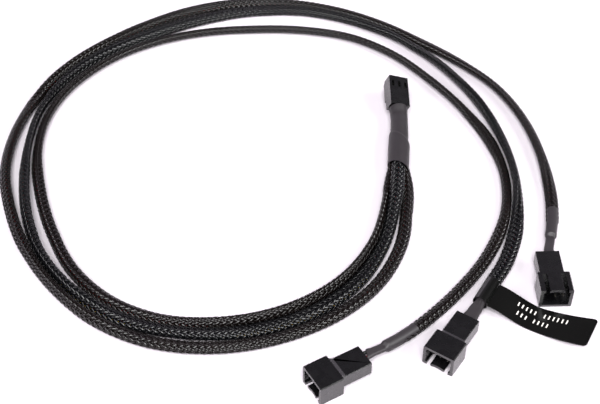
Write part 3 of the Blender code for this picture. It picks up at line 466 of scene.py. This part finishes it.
def strandTree():
    # strands that wind along a path, inside or over the oval that its two vectors give
    tree = bpy.data.node_groups.new("strandsAlongPath", "GeometryNodeTree")
    sockets = tree.interface
    sockets.new_socket("Geometry", in_out="INPUT", socket_type="NodeSocketGeometry")
    for name, kind in (("Strands", "Int"), ("Both ways", "Float"), ("Lay", "Float"), ("Start turn", "Float"),
                       ("Share", "Float"), ("Wave", "Float"), ("Width", "Float"), ("Thickness", "Float"),
                       ("Sides", "Int"), ("Material", "Material")):
        sockets.new_socket(name, in_out="INPUT", socket_type="NodeSocket" + kind)
    sockets.new_socket("Geometry", in_out="OUTPUT", socket_type="NodeSocketGeometry")
    given = tree.nodes.new("NodeGroupInput").outputs

    def number(operation, *values):
        return addNode(tree, "ShaderNodeMath", dict(enumerate(values)), operation=operation)

    def vector(operation, *values):
        return addNode(tree, "ShaderNodeVectorMath", dict(enumerate(values)), operation=operation)

    def scaled(value, amount):
        return addNode(tree, "ShaderNodeVectorMath", {0: value, "Scale": amount}, operation="SCALE")

    def named(name):
        return addNode(tree, "GeometryNodeInputNamedAttribute", {"Name": name}, data_type="FLOAT_VECTOR")

    curve = addNode(tree, "GeometryNodeMeshToCurve", {0: given["Geometry"]})
    copies = addNode(tree, "GeometryNodeDuplicateElements", {"Geometry": curve, "Amount": given["Strands"]},
                     domain="SPLINE")
    index = copies.outputs["Duplicate Index"]
    families = number("ADD", given["Both ways"], 1.0)
    odd = number("MODULO", index, 2.0)
    way = number("SUBTRACT", 1.0, number("MULTIPLY", number("MULTIPLY", odd, 2.0), given["Both ways"]))
    rank = number("FLOOR", number("DIVIDE", index, families))
    eachWay = number("DIVIDE", given["Strands"], families)
    along = addNode(tree, "GeometryNodeSplineParameter").outputs["Length"]
    wound = number("MULTIPLY", number("DIVIDE", along, given["Lay"]), number("MULTIPLY", way, 2 * math.pi))
    share = number("DIVIDE", rank, eachWay)
    start = number("ADD", number("MULTIPLY", share, 2 * math.pi), given["Start turn"])
    turn = number("ADD", wound, start)

    across = named("across")
    over = named("over")
    acrossSize = vector("LENGTH", across).outputs["Value"]
    overSize = vector("LENGTH", over).outputs["Value"]
    # strands stay evenly spread round the oval
    uneven = number("DIVIDE", number("SUBTRACT", acrossSize, overSize), number("ADD", acrossSize, overSize))
    swing = number("MULTIPLY", number("SINE", number("MULTIPLY", turn, 2.0)), number("MULTIPLY", uneven, 0.5))
    spread = number("ADD", turn, swing)
    cosine = number("COSINE", spread)
    sine = number("SINE", spread)
    radial = vector("ADD", scaled(across, cosine), scaled(over, sine))
    around = vector("SUBTRACT", scaled(over, cosine), scaled(across, sine))
    ahead = addNode(tree, "GeometryNodeInputTangent")
    outward = vector("NORMALIZE", vector("CROSS_PRODUCT", ahead, around))
    # over two strands and under two, each strand one crossing behind its neighbour
    beats = number("MULTIPLY", turn, braid["strands"] / 4)
    beat = number("COSINE", number("SUBTRACT", beats, math.pi / 4))
    sign = number("MULTIPLY", number("TANH", number("MULTIPLY", beat, braid["abrupt"])), way)
    lift = number("MULTIPLY", sign, given["Wave"])
    shift = vector("ADD", scaled(radial, given["Share"]), scaled(outward, lift))
    marked = addNode(tree, "GeometryNodeStoreNamedAttribute",
                     {"Geometry": copies, "Name": "outward", "Value": outward}, data_type="FLOAT_VECTOR")
    moved = addNode(tree, "GeometryNodeSetPosition", {"Geometry": marked, "Offset": shift})
    turned = addNode(tree, "GeometryNodeSetCurveNormal", {"Curve": moved, "Normal": named("outward")},
                     mode="FREE")

    ring = addNode(tree, "GeometryNodeCurvePrimitiveCircle", {"Resolution": given["Sides"], "Radius": 1.0})
    side = addNode(tree, "ShaderNodeSeparateXYZ", {0: addNode(tree, "GeometryNodeInputPosition")})
    striped = addNode(tree, "GeometryNodeStoreNamedAttribute",
                      {"Geometry": ring, "Name": "filament", "Value": side.outputs["Y"]}, data_type="FLOAT")
    high = number("MULTIPLY", given["Thickness"], 0.5)
    wide = number("MULTIPLY", given["Width"], 0.5)
    size = addNode(tree, "ShaderNodeCombineXYZ", {0: high, 1: wide, 2: 1.0})
    profile = addNode(tree, "GeometryNodeTransform", {"Geometry": striped, "Scale": size})
    strip = addNode(tree, "GeometryNodeCurveToMesh",
                    {"Curve": turned, "Profile Curve": profile, "Fill Caps": True})
    smooth = addNode(tree, "GeometryNodeSetShadeSmooth", {0: strip})
    real = addNode(tree, "GeometryNodeRealizeInstances", {0: smooth})
    coloured = addNode(tree, "GeometryNodeSetMaterial", {"Geometry": real, "Material": given["Material"]})
    addNode(tree, "NodeGroupOutput", {0: coloured})
    return tree


def windStrands(name, tree, path, values):
    item = linkPiece(name, path.copy())
    modifier = item.modifiers.new(name, "NODES")
    modifier.node_group = tree
    for socket in tree.interface.items_tree:
        if socket.in_out == "INPUT" and socket.name in values:
            modifier[socket.identifier] = values[socket.name]
    return settle(item)


def crossFrame(name, s):
    # ahead along the leg, its right-hand side, and the third way that makes a square frame with them
    ahead = lines[name].heading(s)
    right = ahead.cross(up).normalized()
    return ahead, right, right.cross(ahead)


def sleeveStations(name):
    # place, across and over of the sleeve's oval, all the way along
    leg = legs[name]
    line = lines[name]
    end = line.length - leg["tail"]
    mouth = collar["inside"]
    mean = leg["radius"] - skin + braid["slack"]
    stations = []
    for s in evenSteps(0.0, end, braid["step"]):
        ahead, right, top = crossFrame(name, s)
        # the outer legs stand a little apart where they leave the collar
        apart = eased(s - mouth, changes["apart"]) * (1 - eased(s - mouth, changes["together"]))
        place = line.at(s) + collarRight * leg["aside"] * braid["aside"] * apart
        roll = math.radians(between(leg["rolls"], s))
        # the collar and the shrink tube squeeze the ends
        opened = eased(s - mouth, changes["open"])
        held = max(ease(1 - s / mouth), eased(s - end, changes["close"]))
        a, b = (tight + (free - tight) * opened for tight, free in zip(leg["mouth"], leg["half"]))
        a += (mean - a) * held
        b += (mean - b) * held
        across = (right * math.cos(roll) + top * math.sin(roll)) * a
        over = (top * math.cos(roll) - right * math.sin(roll)) * b
        stations.append([place, across, over, right, top])
    return stations


def extent(station, way):
    return math.hypot(station[1].dot(way), station[2].dot(way))


def sleevePath(name, stations):
    mesh = bpy.data.meshes.new(name + "_path")
    mesh.from_pydata([s[0] for s in stations], [(i, i + 1) for i in range(len(stations) - 1)], [])
    for key, column in (("across", 1), ("over", 2)):
        attribute = mesh.attributes.new(key, "FLOAT_VECTOR", "POINT")
        attribute.data.foreach_set("vector", [c for s in stations for c in s[column]])
    return mesh


def giveWay(name, free):
    # sleeves side by side share the room between them by their widths, and each lies on the surface
    for index, station in enumerate(stationsOf[name]):
        right, top = station[3:]
        wide, high = free[name][1][index]
        room = wide
        for other in legs:
            if other == name:
                continue
            place, near, gap = free[other][0].find(station[0])
            wideThere, highThere = free[other][1][near]
            if abs(place.z - station[0].z) < braid["level"] * (high + highThere):
                room = min(room, gap * wide / (wide + wideThere) - skin)
        share = max(braid["narrowest"], room / wide)
        for i in (1, 2):
            v = station[i]
            station[i] = right * v.dot(right) * share + top * v.dot(top) / math.sqrt(share)
        lowest = math.hypot(station[1].z, station[2].z)
        station[0].z = max(station[0].z, lowest + skin + braid["floorGap"])


def wireSpots(name, s):
    # across and up from the leg's middle line to the middle of each of its wires
    line = lines[name]
    ways = plugs[legs[name]["plug"]]["ways"]
    side = plugs[legs[name]["plug"]]["side"]
    behindEnd = s - line.length + legs[name]["tail"]
    inSleeve, behind, inTube, atBody = insulation["triple" if len(ways) == 3 else "pair"]
    gathered = eased(behindEnd, insulation["gather"])
    pitch = inSleeve + (behind - inSleeve) * gathered
    pitch += (inTube - pitch) * eased(behindEnd, insulation["part"])
    pitch += (atBody - pitch) * eased(s - line.length, insulation["meet"])
    # three wires stand as a triangle behind the sleeve's end, then lie side by side
    heap = gathered * (1 - eased(behindEnd, insulation["heap"])) if len(ways) == 3 else 0.0
    centre = sum(ways) / len(ways)
    spots = []
    for way in ways:
        offset = (way - centre) * side
        rise = insulation["heapRise"] * (1.0 if offset == 0 else -0.5)
        spots.append((offset * pitch, rise * heap))
    return spots


def wirePaths(name):
    # each wire's own line, from inside the collar to its contact
    leg = legs[name]
    line = lines[name]
    place = plugFrame(leg["plug"])
    level = place.to_3x3() @ Vector((plugs[leg["plug"]]["side"], 0, 0))
    ways = plugs[leg["plug"]]["ways"]
    stations = stationsOf[name]
    end = line.length - leg["tail"]
    paths = [[] for way in ways]
    for s in evenSteps(0.0, line.length, insulation["step"]):
        ahead, right, top = crossFrame(name, s)
        centre = line.at(s)
        if s < end:
            station = stations[min(len(stations) - 1, round(s / end * (len(stations) - 1)))]
            centre = station[0]
            right = station[1].normalized()
        blend = eased(s - end, insulation["gather"])
        side = right.lerp((level - level.dot(ahead) * ahead).normalized(), blend).normalized()
        rise = side.cross(ahead).normalized()
        for wire, (u, v) in zip(paths, wireSpots(name, s)):
            # of a wire's oval only the directions count
            wire.append([centre + side * u + rise * v, side * insulation["axis"], rise * insulation["axis"]])
    middle = sum(ways) / len(ways) * plug["pitch"]
    for wire, way in zip(paths, ways):
        share = way * plug["pitch"]
        lean = math.copysign(insulation["lean"], middle - share) if abs(middle - share) > 1e-6 else 0.0
        for depth in insulation["into"]:
            spot = place @ Vector((share + lean, depth - plug["bodyLength"], plug["axisHeight"]))
            wire.append([spot, wire[-1][1], wire[-1][2]])
    return paths


def makeSleeve(name):
    leg = legs[name]
    a, b = leg["half"]
    girth = 2 * math.pi * math.sqrt((a * a + b * b) / 2)
    lean = math.cos(math.atan2(girth, braid["lay"]))
    width = braid["cover"] * girth * lean / (braid["strands"] / 2)
    item = windStrands(name + "_braid", strandNodes, sleevePath(name, stationsOf[name]), {
        "Strands": braid["strands"], "Both ways": 1.0, "Lay": braid["lay"], "Start turn": 0.0, "Share": 1.0,
        "Wave": braid["wave"], "Width": width, "Thickness": braid["thickness"], "Sides": braid["sides"],
        "Material": finishes[leg["finish"]]})
    return addPiece(item, "braided_sleeve", name + "_sleeve")


def makeInnerWires(name):
    # one strand each, with a lay so long that it doesn't wind
    key = legs[name]["plug"]
    wires = []
    for way, path in zip(plugs[key]["ways"], wirePaths(name)):
        item = windStrands("%s_wire_%d" % (name, 2 - way), strandNodes, sleevePath(name, path), {
            "Strands": 1, "Both ways": 0.0, "Lay": 1000.0, "Start turn": 0.0, "Share": 0.0, "Wave": 0.0,
            "Width": 2 * insulation["radius"], "Thickness": 2 * insulation["radius"],
            "Sides": insulation["sides"], "Material": finishes[wireColours[way]]})
        wires.append(addPiece(item, wireColours[way], "%s_wire_%d" % (key, 2 - way)))
    return wires


def sizesAlong(name):
    # a finder of the sleeve's stations, and how wide and how high each of them stands
    finder = KDTree(len(stationsOf[name]))
    for index, station in enumerate(stationsOf[name]):
        finder.insert(station[0], index)
    finder.balance()
    return finder, [(extent(s, s[3]), extent(s, s[4])) for s in stationsOf[name]]


strandNodes = strandTree()
stationsOf = {name: sleeveStations(name) for name in legs}
freeSizes = {name: sizesAlong(name) for name in legs}
for name in legs:
    giveWay(name, freeSizes)
for name in legs:
    makeSleeve(name)
    makeInnerWires(name)


# Shrink tubes

# dent: depth of the valleys between the wires; uneven, waver: height and noise scale of the unevenness;
# bare: from the tube's end to the plug; bite: how far it presses into the sleeve; dentMargin: the side
# strip without valleys; corner: how round the oval's ends are; sharp: degrees from which an edge stays sharp
tube = {"wall": 0.00022, "around": 48, "along": 0.0004, "dent": 0.14, "uneven": 0.00003, "waver": 250.0,
        "bare": 0.0004, "clearance": 0.00006, "bite": 0.0001, "dentMargin": 0.0006, "cutReach": 0.004,
        "corner": 0.06, "sharp": 50}


def ovalRing(halfWidth, halfHeight, dent=lambda x: 0.0):
    # a smooth stadium, with a shallow valley between the wires under it
    ring = []
    run = max(0.0, halfWidth - halfHeight)
    low = min(halfWidth, halfHeight)
    corner = tube["corner"]
    for i in range(tube["around"]):
        turn = 2 * math.pi * i / tube["around"]
        c, s = math.cos(turn), math.sin(turn)
        x = low * c + run * c / math.sqrt(c * c + corner) * math.sqrt(1 + corner)
        ring.append((x, halfHeight * s * (1 - dent(x))))
    return ring


def loftTube(name, sections, material, wall=tube["wall"]):
    # sections hold centre, side, top, ahead and ring; the wall's inner face is a smaller copy
    bm = bmesh.new()
    rings = []
    for centre, side, top, ahead, ring in sections:
        pair = []
        for shrinkage in (0.0, wall):
            loop = []
            for x, y, shift in ring:
                reach = math.hypot(x, y)
                k = (reach - shrinkage) / reach
                place = centre + side * x * k + top * y * k + ahead * shift
                wander = noise.noise(place * tube["waver"]) * tube["uneven"]
                outward = (side * x + top * y).normalized()
                loop.append(bm.verts.new(place + outward * wander))
            pair.append(loop)
        rings.append(pair)
    for (outerA, innerA), (outerB, innerB) in zip(rings, rings[1:]):
        bridge(bm, outerA, outerB)
        bridge(bm, innerB, innerA)
    bridge(bm, *rings[0])
    bridge(bm, *rings[-1])
    return pieceFrom(bm, name, material, tube["sharp"])


def slantedRing(ring, cut, share):
    # cut: how far the tube's end is set back at its left and right sides; share: how much of it applies here
    widest = max(abs(x) for x, y in ring)
    left, right = cut
    return [(x, y, -share * (left + (right - left) * (x / widest + 1) / 2)) for x, y in ring]


def plugShrink(name):
    leg = legs[name]
    line = lines[name]
    ways = plugs[leg["plug"]]["ways"]
    level = plugFrame(leg["plug"]).to_3x3() @ Vector((plugs[leg["plug"]]["side"], 0, 0))
    sleeveEnd = line.length - leg["tail"]
    last = line.length - tube["bare"]
    full = leg["radius"] + skin - tube["bite"] + tube["wall"]
    room = insulation["radius"] + tube["wall"] + tube["clearance"]
    sign = 1 if len(ways) == 2 else -1
    sections = []
    for s in evenSteps(sleeveEnd - leg["overlap"], last, tube["along"]):
        ahead = line.heading(s)
        side = (level - level.dot(ahead) * ahead).normalized()
        top = side.cross(ahead)
        spots = wireSpots(name, s)
        wires = max(abs(u) for u, v in spots) + room
        flat = max(abs(v) for u, v in spots) + room
        settled = eased(s - sleeveEnd, (-leg["step"][0], leg["step"][1]))
        halfWidth = full + (wires - full) * settled
        halfHeight = full + (flat - full) * settled
        pitch = abs(spots[0][0] - spots[1][0])
        depth = tube["dent"] * settled

        def dent(x):
            if abs(x) >= wires - tube["dentMargin"]:
                return 0.0
            return depth * (0.5 + sign * 0.5 * math.cos(2 * math.pi * x / pitch))

        oval = ovalRing(halfWidth, halfHeight, dent)
        ring = slantedRing(oval, leg["cut"], eased(s - last, (-tube["cutReach"], tube["cutReach"])))
        sections.append((line.at(s), side, top, ahead, ring))
    item = loftTube(leg["plug"] + "_shrink", sections, finishes["shrink"])
    return addPiece(item, "heat_shrink", leg["plug"] + "_heat_shrink")


shrinks = {name: plugShrink(name) for name in legs}

# gap: from the trunk's two ends to what is next; grip: from the collar's end inwards, where its axis is
# held; dip: how far behind the receptacle it comes down, and how low; straight: its run into the receptacle
trunk = {"radius": 0.0032, "mouthRadius": 0.00345, "mouthLength": 0.003, "dip": (0.0045, 0.00335),
         "gap": 0.0003, "grip": 0.003, "straight": 0.0012, "start": 0.002}
receptacle = {"rear": (-0.008, 0.059, 0.0044), "yaw": 1.5, "pitch": 14.0, "roll": 20.0}


def receptacleFrame():
    turn = (Matrix.Rotation(math.radians(receptacle["yaw"]), 4, "Z")
            @ Matrix.Rotation(math.radians(receptacle["pitch"]), 4, "X")
            @ Matrix.Rotation(math.radians(receptacle["roll"]), 4, "Y"))
    return Matrix.Translation(receptacle["rear"]) @ turn


def makeCollar():
    # its end over the trunk is cut at a slant, and stands up as a step
    length = collar["length"]
    close, lip = collar["lip"]
    sections = []
    for s in evenSteps(0.0, length, tube["along"]):
        belly = collar["belly"] * math.sin(math.pi * min(1.0, s / length))
        radius = collar["radius"] + belly - close * eased(s - length, (-lip, lip))
        oval = ovalRing(radius, radius)
        cut = slantedRing(oval, collar["cut"], eased(s - length, (-collar["cutReach"], collar["cutReach"])))
        hem = slantedRing(oval, collar["hem"], ease(1 - s / collar["hemReach"]))
        ring = [(x, y, shift + drop[2]) for (x, y, shift), drop in zip(cut, hem)]
        sections.append((collarLow + collarAhead * s, collarRight, up, collarAhead, ring))
    item = loftTube("collar_shrink", sections, finishes["shrink"])
    return addPiece(item, "heat_shrink", "splitter_collar")


def makeTrunk():
    place = receptacleFrame()
    back = place.translation
    out = place.to_3x3() @ Vector((0, -1, 0))
    reach, height = trunk["dip"]
    dip = back + out * reach
    dip.z = height
    route = [collarLow + collarAhead * (collar["inside"] + trunk["gap"]),
             collarLow + collarAhead * (collar["length"] - trunk["grip"]), collarHigh,
             collarHigh.lerp(dip, 0.5), dip, back + out * trunk["straight"], back]
    line = Line(smoothRoute(route, routing["step"]))
    sections = []
    for s in evenSteps(trunk["start"], line.length - trunk["gap"], tube["along"]):
        heading = line.heading(s)
        side = (collarRight - collarRight.dot(heading) * heading).normalized()
        flare = ease(1 - (line.length - s) / trunk["mouthLength"])
        radius = trunk["radius"] + (trunk["mouthRadius"] - trunk["radius"]) * flare
        ring = [(x, y, 0.0) for x, y in ovalRing(radius, radius)]
        sections.append((line.at(s), side, side.cross(heading), heading, ring))
    item = loftTube("trunk_shrink", sections, finishes["shrink"])
    return addPiece(item, "heat_shrink", "trunk_heat_shrink")


makeCollar()
makeTrunk()
print("shrink tubes are lofted")


# Flag label: a film wrapped once round the leg, with its two ends stuck back to back as a tail

# touch: how far along its tail it meets the surface; rise, curl, tilt: how its end lifts, bends and leans;
# corner, cornerTurns: the radius of its outer corners, and the degrees at which they have points
label = {"leg": "leg_b", "width": 0.0102, "length": 0.0356, "thickness": 0.00028, "fromPlug": 0.0096,
         "bore": 0.00225, "heading": -29.7, "lift": 0.00012, "touch": 0.43, "rise": 0.0042, "curl": 1.6,
         "tilt": 0.22, "corner": 0.0013, "cornerTurns": (15, 30, 45, 60, 75, 85), "step": 0.0006,
         "along": 0.001, "around": 64, "sharp": 35}


def tailHeight(share, begin):
    # the tail comes down to the surface, then curls up again towards its end
    rest = label["lift"] + label["thickness"] / 2
    if share < label["touch"]:
        return rest + (begin - rest) * (1 - ease(share / label["touch"]))
    return rest + label["rise"] * ((share - label["touch"]) / (1 - label["touch"])) ** label["curl"]


def makeLabel():
    line = lines[label["leg"]]
    lowEnd = line.length - label["fromPlug"]
    half = label["width"] / 2
    a, b = line.at(lowEnd - label["width"]), line.at(lowEnd)
    centre = (a + b) / 2
    heading = math.radians(label["heading"])
    out = Vector((math.cos(heading), math.sin(heading), 0))
    flat = Vector((-out.y, out.x, 0))
    along = (a - b).normalized()
    over = out.cross(along).normalized()
    aside = along.cross(over)
    outer = label["bore"] + label["thickness"]
    turns = [2 * math.pi * i / label["around"] for i in range(label["around"])]
    ring = [(outer * math.cos(t), outer * math.sin(t), 0.0) for t in turns]
    places = [centre + along * s for s in evenSteps(-half, half, label["along"])]
    sections = [(place, aside, over, along, ring) for place in places]
    wrap = loftTube("label_wrap", sections, finishes["film"], label["thickness"])
    begin = outer - label["thickness"] / 2
    straight = label["length"] - label["corner"]
    rows = [(x, half) for x in evenSteps(begin, straight, label["step"])]
    for t in (math.radians(v) for v in label["cornerTurns"]):
        rows.append((straight + label["corner"] * math.sin(t), half - label["corner"] * (1 - math.cos(t))))

    def spot(x, y, lift):
        share = (x - begin) / (label["length"] - begin)
        tilt = label["tilt"] * max(0.0, (share - label["touch"]) / (1 - label["touch"]))
        place = centre + out * x + flat * y
        place.z = tailHeight(share, centre.z) + tilt * y + lift * label["thickness"]
        return place

    bm = bmesh.new()
    bm.from_mesh(wrap.data)
    loops = []
    for x, reach in rows:
        corners = ((-reach, -0.5), (reach, -0.5), (reach, 0.5), (-reach, 0.5))
        loops.append([bm.verts.new(spot(x, y, lift)) for y, lift in corners])
    bm.faces.new(loops[0])
    bm.faces.new(loops[-1][::-1])
    for near, far in zip(loops, loops[1:]):
        bridge(bm, far, near)
    bpy.data.objects.remove(wrap)
    tail = pieceFrom(bm, "label_film", finishes["film"], label["sharp"])
    return [addPiece(tail, "label_film", "flag_label"), printTicks(spot)]


# plain upright ticks in two rows, where the real label has its print: each row's middle, and the start and
# count of its groups; sunk, proud: how far they reach into and out of the film, in its thicknesses
ticks = {"rows": ((0.0021, ((0.0105, 5), (0.0195, 6))), (-0.0013, ((0.0115, 3), (0.0172, 4)))),
         "pitch": 0.00145, "width": 0.00042, "height": 0.0016, "sunk": 0.4, "proud": 0.58}


def printTicks(spot):
    bm = bmesh.new()
    for middle, groups in ticks["rows"]:
        for start, count in groups:
            for k in range(count):
                x = start + k * ticks["pitch"]
                sides = [(x + u * ticks["width"] / 2, middle + v * ticks["height"] / 2)
                         for u, v in ((-1, -1), (1, -1), (1, 1), (-1, 1))]
                low = [bm.verts.new(spot(px, py, ticks["sunk"])) for px, py in sides]
                high = [bm.verts.new(spot(px, py, ticks["proud"])) for px, py in sides]
                bm.faces.new(low)
                bm.faces.new(high)
                bridge(bm, low, high)
    return addPiece(pieceFrom(bm, "label_ticks", finishes["ink"]), "label_film")


labelPieces = makeLabel()
print("label is wrapped")


# Moulded housings: the solids themselves, with a slope added on the plugs and their edges eased

# angle: the degrees from which an edge is eased; flat: up to which two faces are one
moulding = {"easeMm": 0.07, "segments": 2, "angle": 30.0, "merge": 1e-6, "flat": 1.0}
# bodyTop: height of the body's top, from where the slope goes up, over run, to edge below the shroud's top;
# sunk: how far it reaches into the body and the shroud
slope = {"bodyTop": 0.0068, "run": 0.0015, "halfWidth": 0.00375, "sunk": 0.0005, "edge": 0.0001}


def makeSlope(name):
    top = plug["height"] - slope["edge"]
    low = slope["bodyTop"] - slope["sunk"]
    tail = -slope["run"] * (top - low) / (top - slope["bodyTop"])
    profile = [(tail, low), (slope["sunk"], low), (slope["sunk"], top), (0.0, top)]
    place = plugFrame(name)
    bm = bmesh.new()
    ends = [[bm.verts.new(place @ Vector((x, y, z))) for y, z in profile]
            for x in (-slope["halfWidth"], slope["halfWidth"])]
    bm.faces.new(ends[0])
    bm.faces.new(ends[1])
    bridge(bm, *ends)
    return pieceFrom(bm, name + "_slope", finishes["nylon"])


def easeEdges(node, name, added=None):
    bm = bmesh.new()
    bm.from_mesh(nodes[node].data)
    bmesh.ops.remove_doubles(bm, verts=bm.verts, dist=moulding["merge"])
    bmesh.ops.dissolve_limit(bm, angle_limit=math.radians(moulding["flat"]), verts=bm.verts, edges=bm.edges)
    mesh = bpy.data.meshes.new(name)
    bm.to_mesh(mesh)
    bm.free()
    mesh.shade_smooth()
    item = linkPiece(name, mesh, finishes["nylon"])
    if added is not None:
        union = item.modifiers.new("slope", "BOOLEAN")
        union.operation = "UNION"
        union.solver = "MANIFOLD"
        union.object = added
    bevel = item.modifiers.new("edges", "BEVEL")
    bevel.width = moulding["easeMm"] * mm
    bevel.segments = moulding["segments"]
    bevel.limit_method = "ANGLE"
    bevel.angle_limit = math.radians(moulding["angle"])
    # the large faces stay flat up to their eased edges
    weigh = item.modifiers.new("weigh", "WEIGHTED_NORMAL")
    weigh.weight = 100
    settle(item)
    if added is not None:
        bpy.data.objects.remove(added)
    return addPiece(item, "connector_nylon", node)


housings = {name: easeEdges(name + "_housing", name + "_moulding", makeSlope(name)) for name in plugs}
easeEdges("receptacle_housing", "receptacle_moulding")
print("housings are eased")

# Finishes of the solids that stay
# the contacts take the plating whose colour is darkened as painted shade
slotFinish = {"contact_metal": "tin", "wire_red": "wire_red", "wire_black": "wire_black",
              "wire_yellow": "wire_yellow"}
for row in frame["record"]["subparts"]:
    key = slotFinish.get(row["material_slot"])
    if key:
        data = nodes[row["node"]].data
        data.materials.clear()
        data.materials.append(finishes[key])

# Cords
for name, leg in legs.items():
    key = leg["plug"]
    ways = plugs[key]["ways"]
    carried = [nodes["%s_pin_%d" % (key, 2 - way)] for way in ways]
    if name == label["leg"]:
        carried += labelPieces
    centres = [s[0] for s in stationsOf[name]]
    lines[name].at(collar["inside"])
    Line(centres).length

# Surface and light

floorLook = {"size": 6.0, "centre": (-0.04, 0.02, 0.0), "colour": "d6d0d6", "roughness": 0.75,
             "specular": 0.1}
bpy.ops.mesh.primitive_plane_add(size=floorLook["size"], location=floorLook["centre"])
floor = bpy.context.object
floor.name = "floor"
floorMaterial, _, floorShader = startMaterial("paleTable", floorLook)
floorShader.inputs["Base Color"].default_value = fromHex(floorLook["colour"])
floorShader.inputs["Specular IOR Level"].default_value = floorLook["specular"]
floor.data.materials.append(floorMaterial)

# power in watts, size in metres; each lamp looks at the middle of the cable
lamps = {
    "rightSoftbox": {"place": (0.95, -0.25, 0.75), "size": (0.6, 0.6), "power": 15.0, "colour": "ffffff"},
    "leftSoftbox": {"place": (-1.0, -0.35, 0.8), "size": (0.6, 0.6), "power": 9.0, "colour": "fbf6fd"},
    "frontSoftbox": {"place": (-0.1, -0.75, 1.1), "size": (0.7, 0.9), "power": 28.0, "colour": "ffffff"},
    "backSweep": {"place": (-0.05, 1.29, 0.985), "size": (3.0, 0.55), "power": 1.1, "colour": "efe4f2"},
    "backStrip": {"place": (-0.05, 1.57, 0.44), "size": (3.0, 0.6), "power": 7.0, "colour": "efe4f2"},
}
aim = Vector((-0.045, 0.03, 0.0))
for name, lamp in lamps.items():
    data = bpy.data.lights.new(name, "AREA")
    data.shape = "RECTANGLE"
    data.size, data.size_y = lamp["size"]
    data.energy = lamp["power"]
    data.color = fromHex(lamp["colour"])[:3]
    item = bpy.data.objects.new(name, data)
    item.location = lamp["place"]
    item.rotation_euler = (aim - item.location).to_track_quat("-Z", "Y").to_euler()
    bpy.context.scene.collection.objects.link(item)

sky = {"colour": "e3d7e6", "strength": 0.08}
world = bpy.data.worlds.new("studio")
bpy.context.scene.world = world
world.use_nodes = True
world.node_tree.nodes["Background"].inputs["Color"].default_value = fromHex(sky["colour"])
world.node_tree.nodes["Background"].inputs["Strength"].default_value = sky["strength"]
bpy.context.scene.view_settings.view_transform = "Standard"
print("surface and lamps are set")
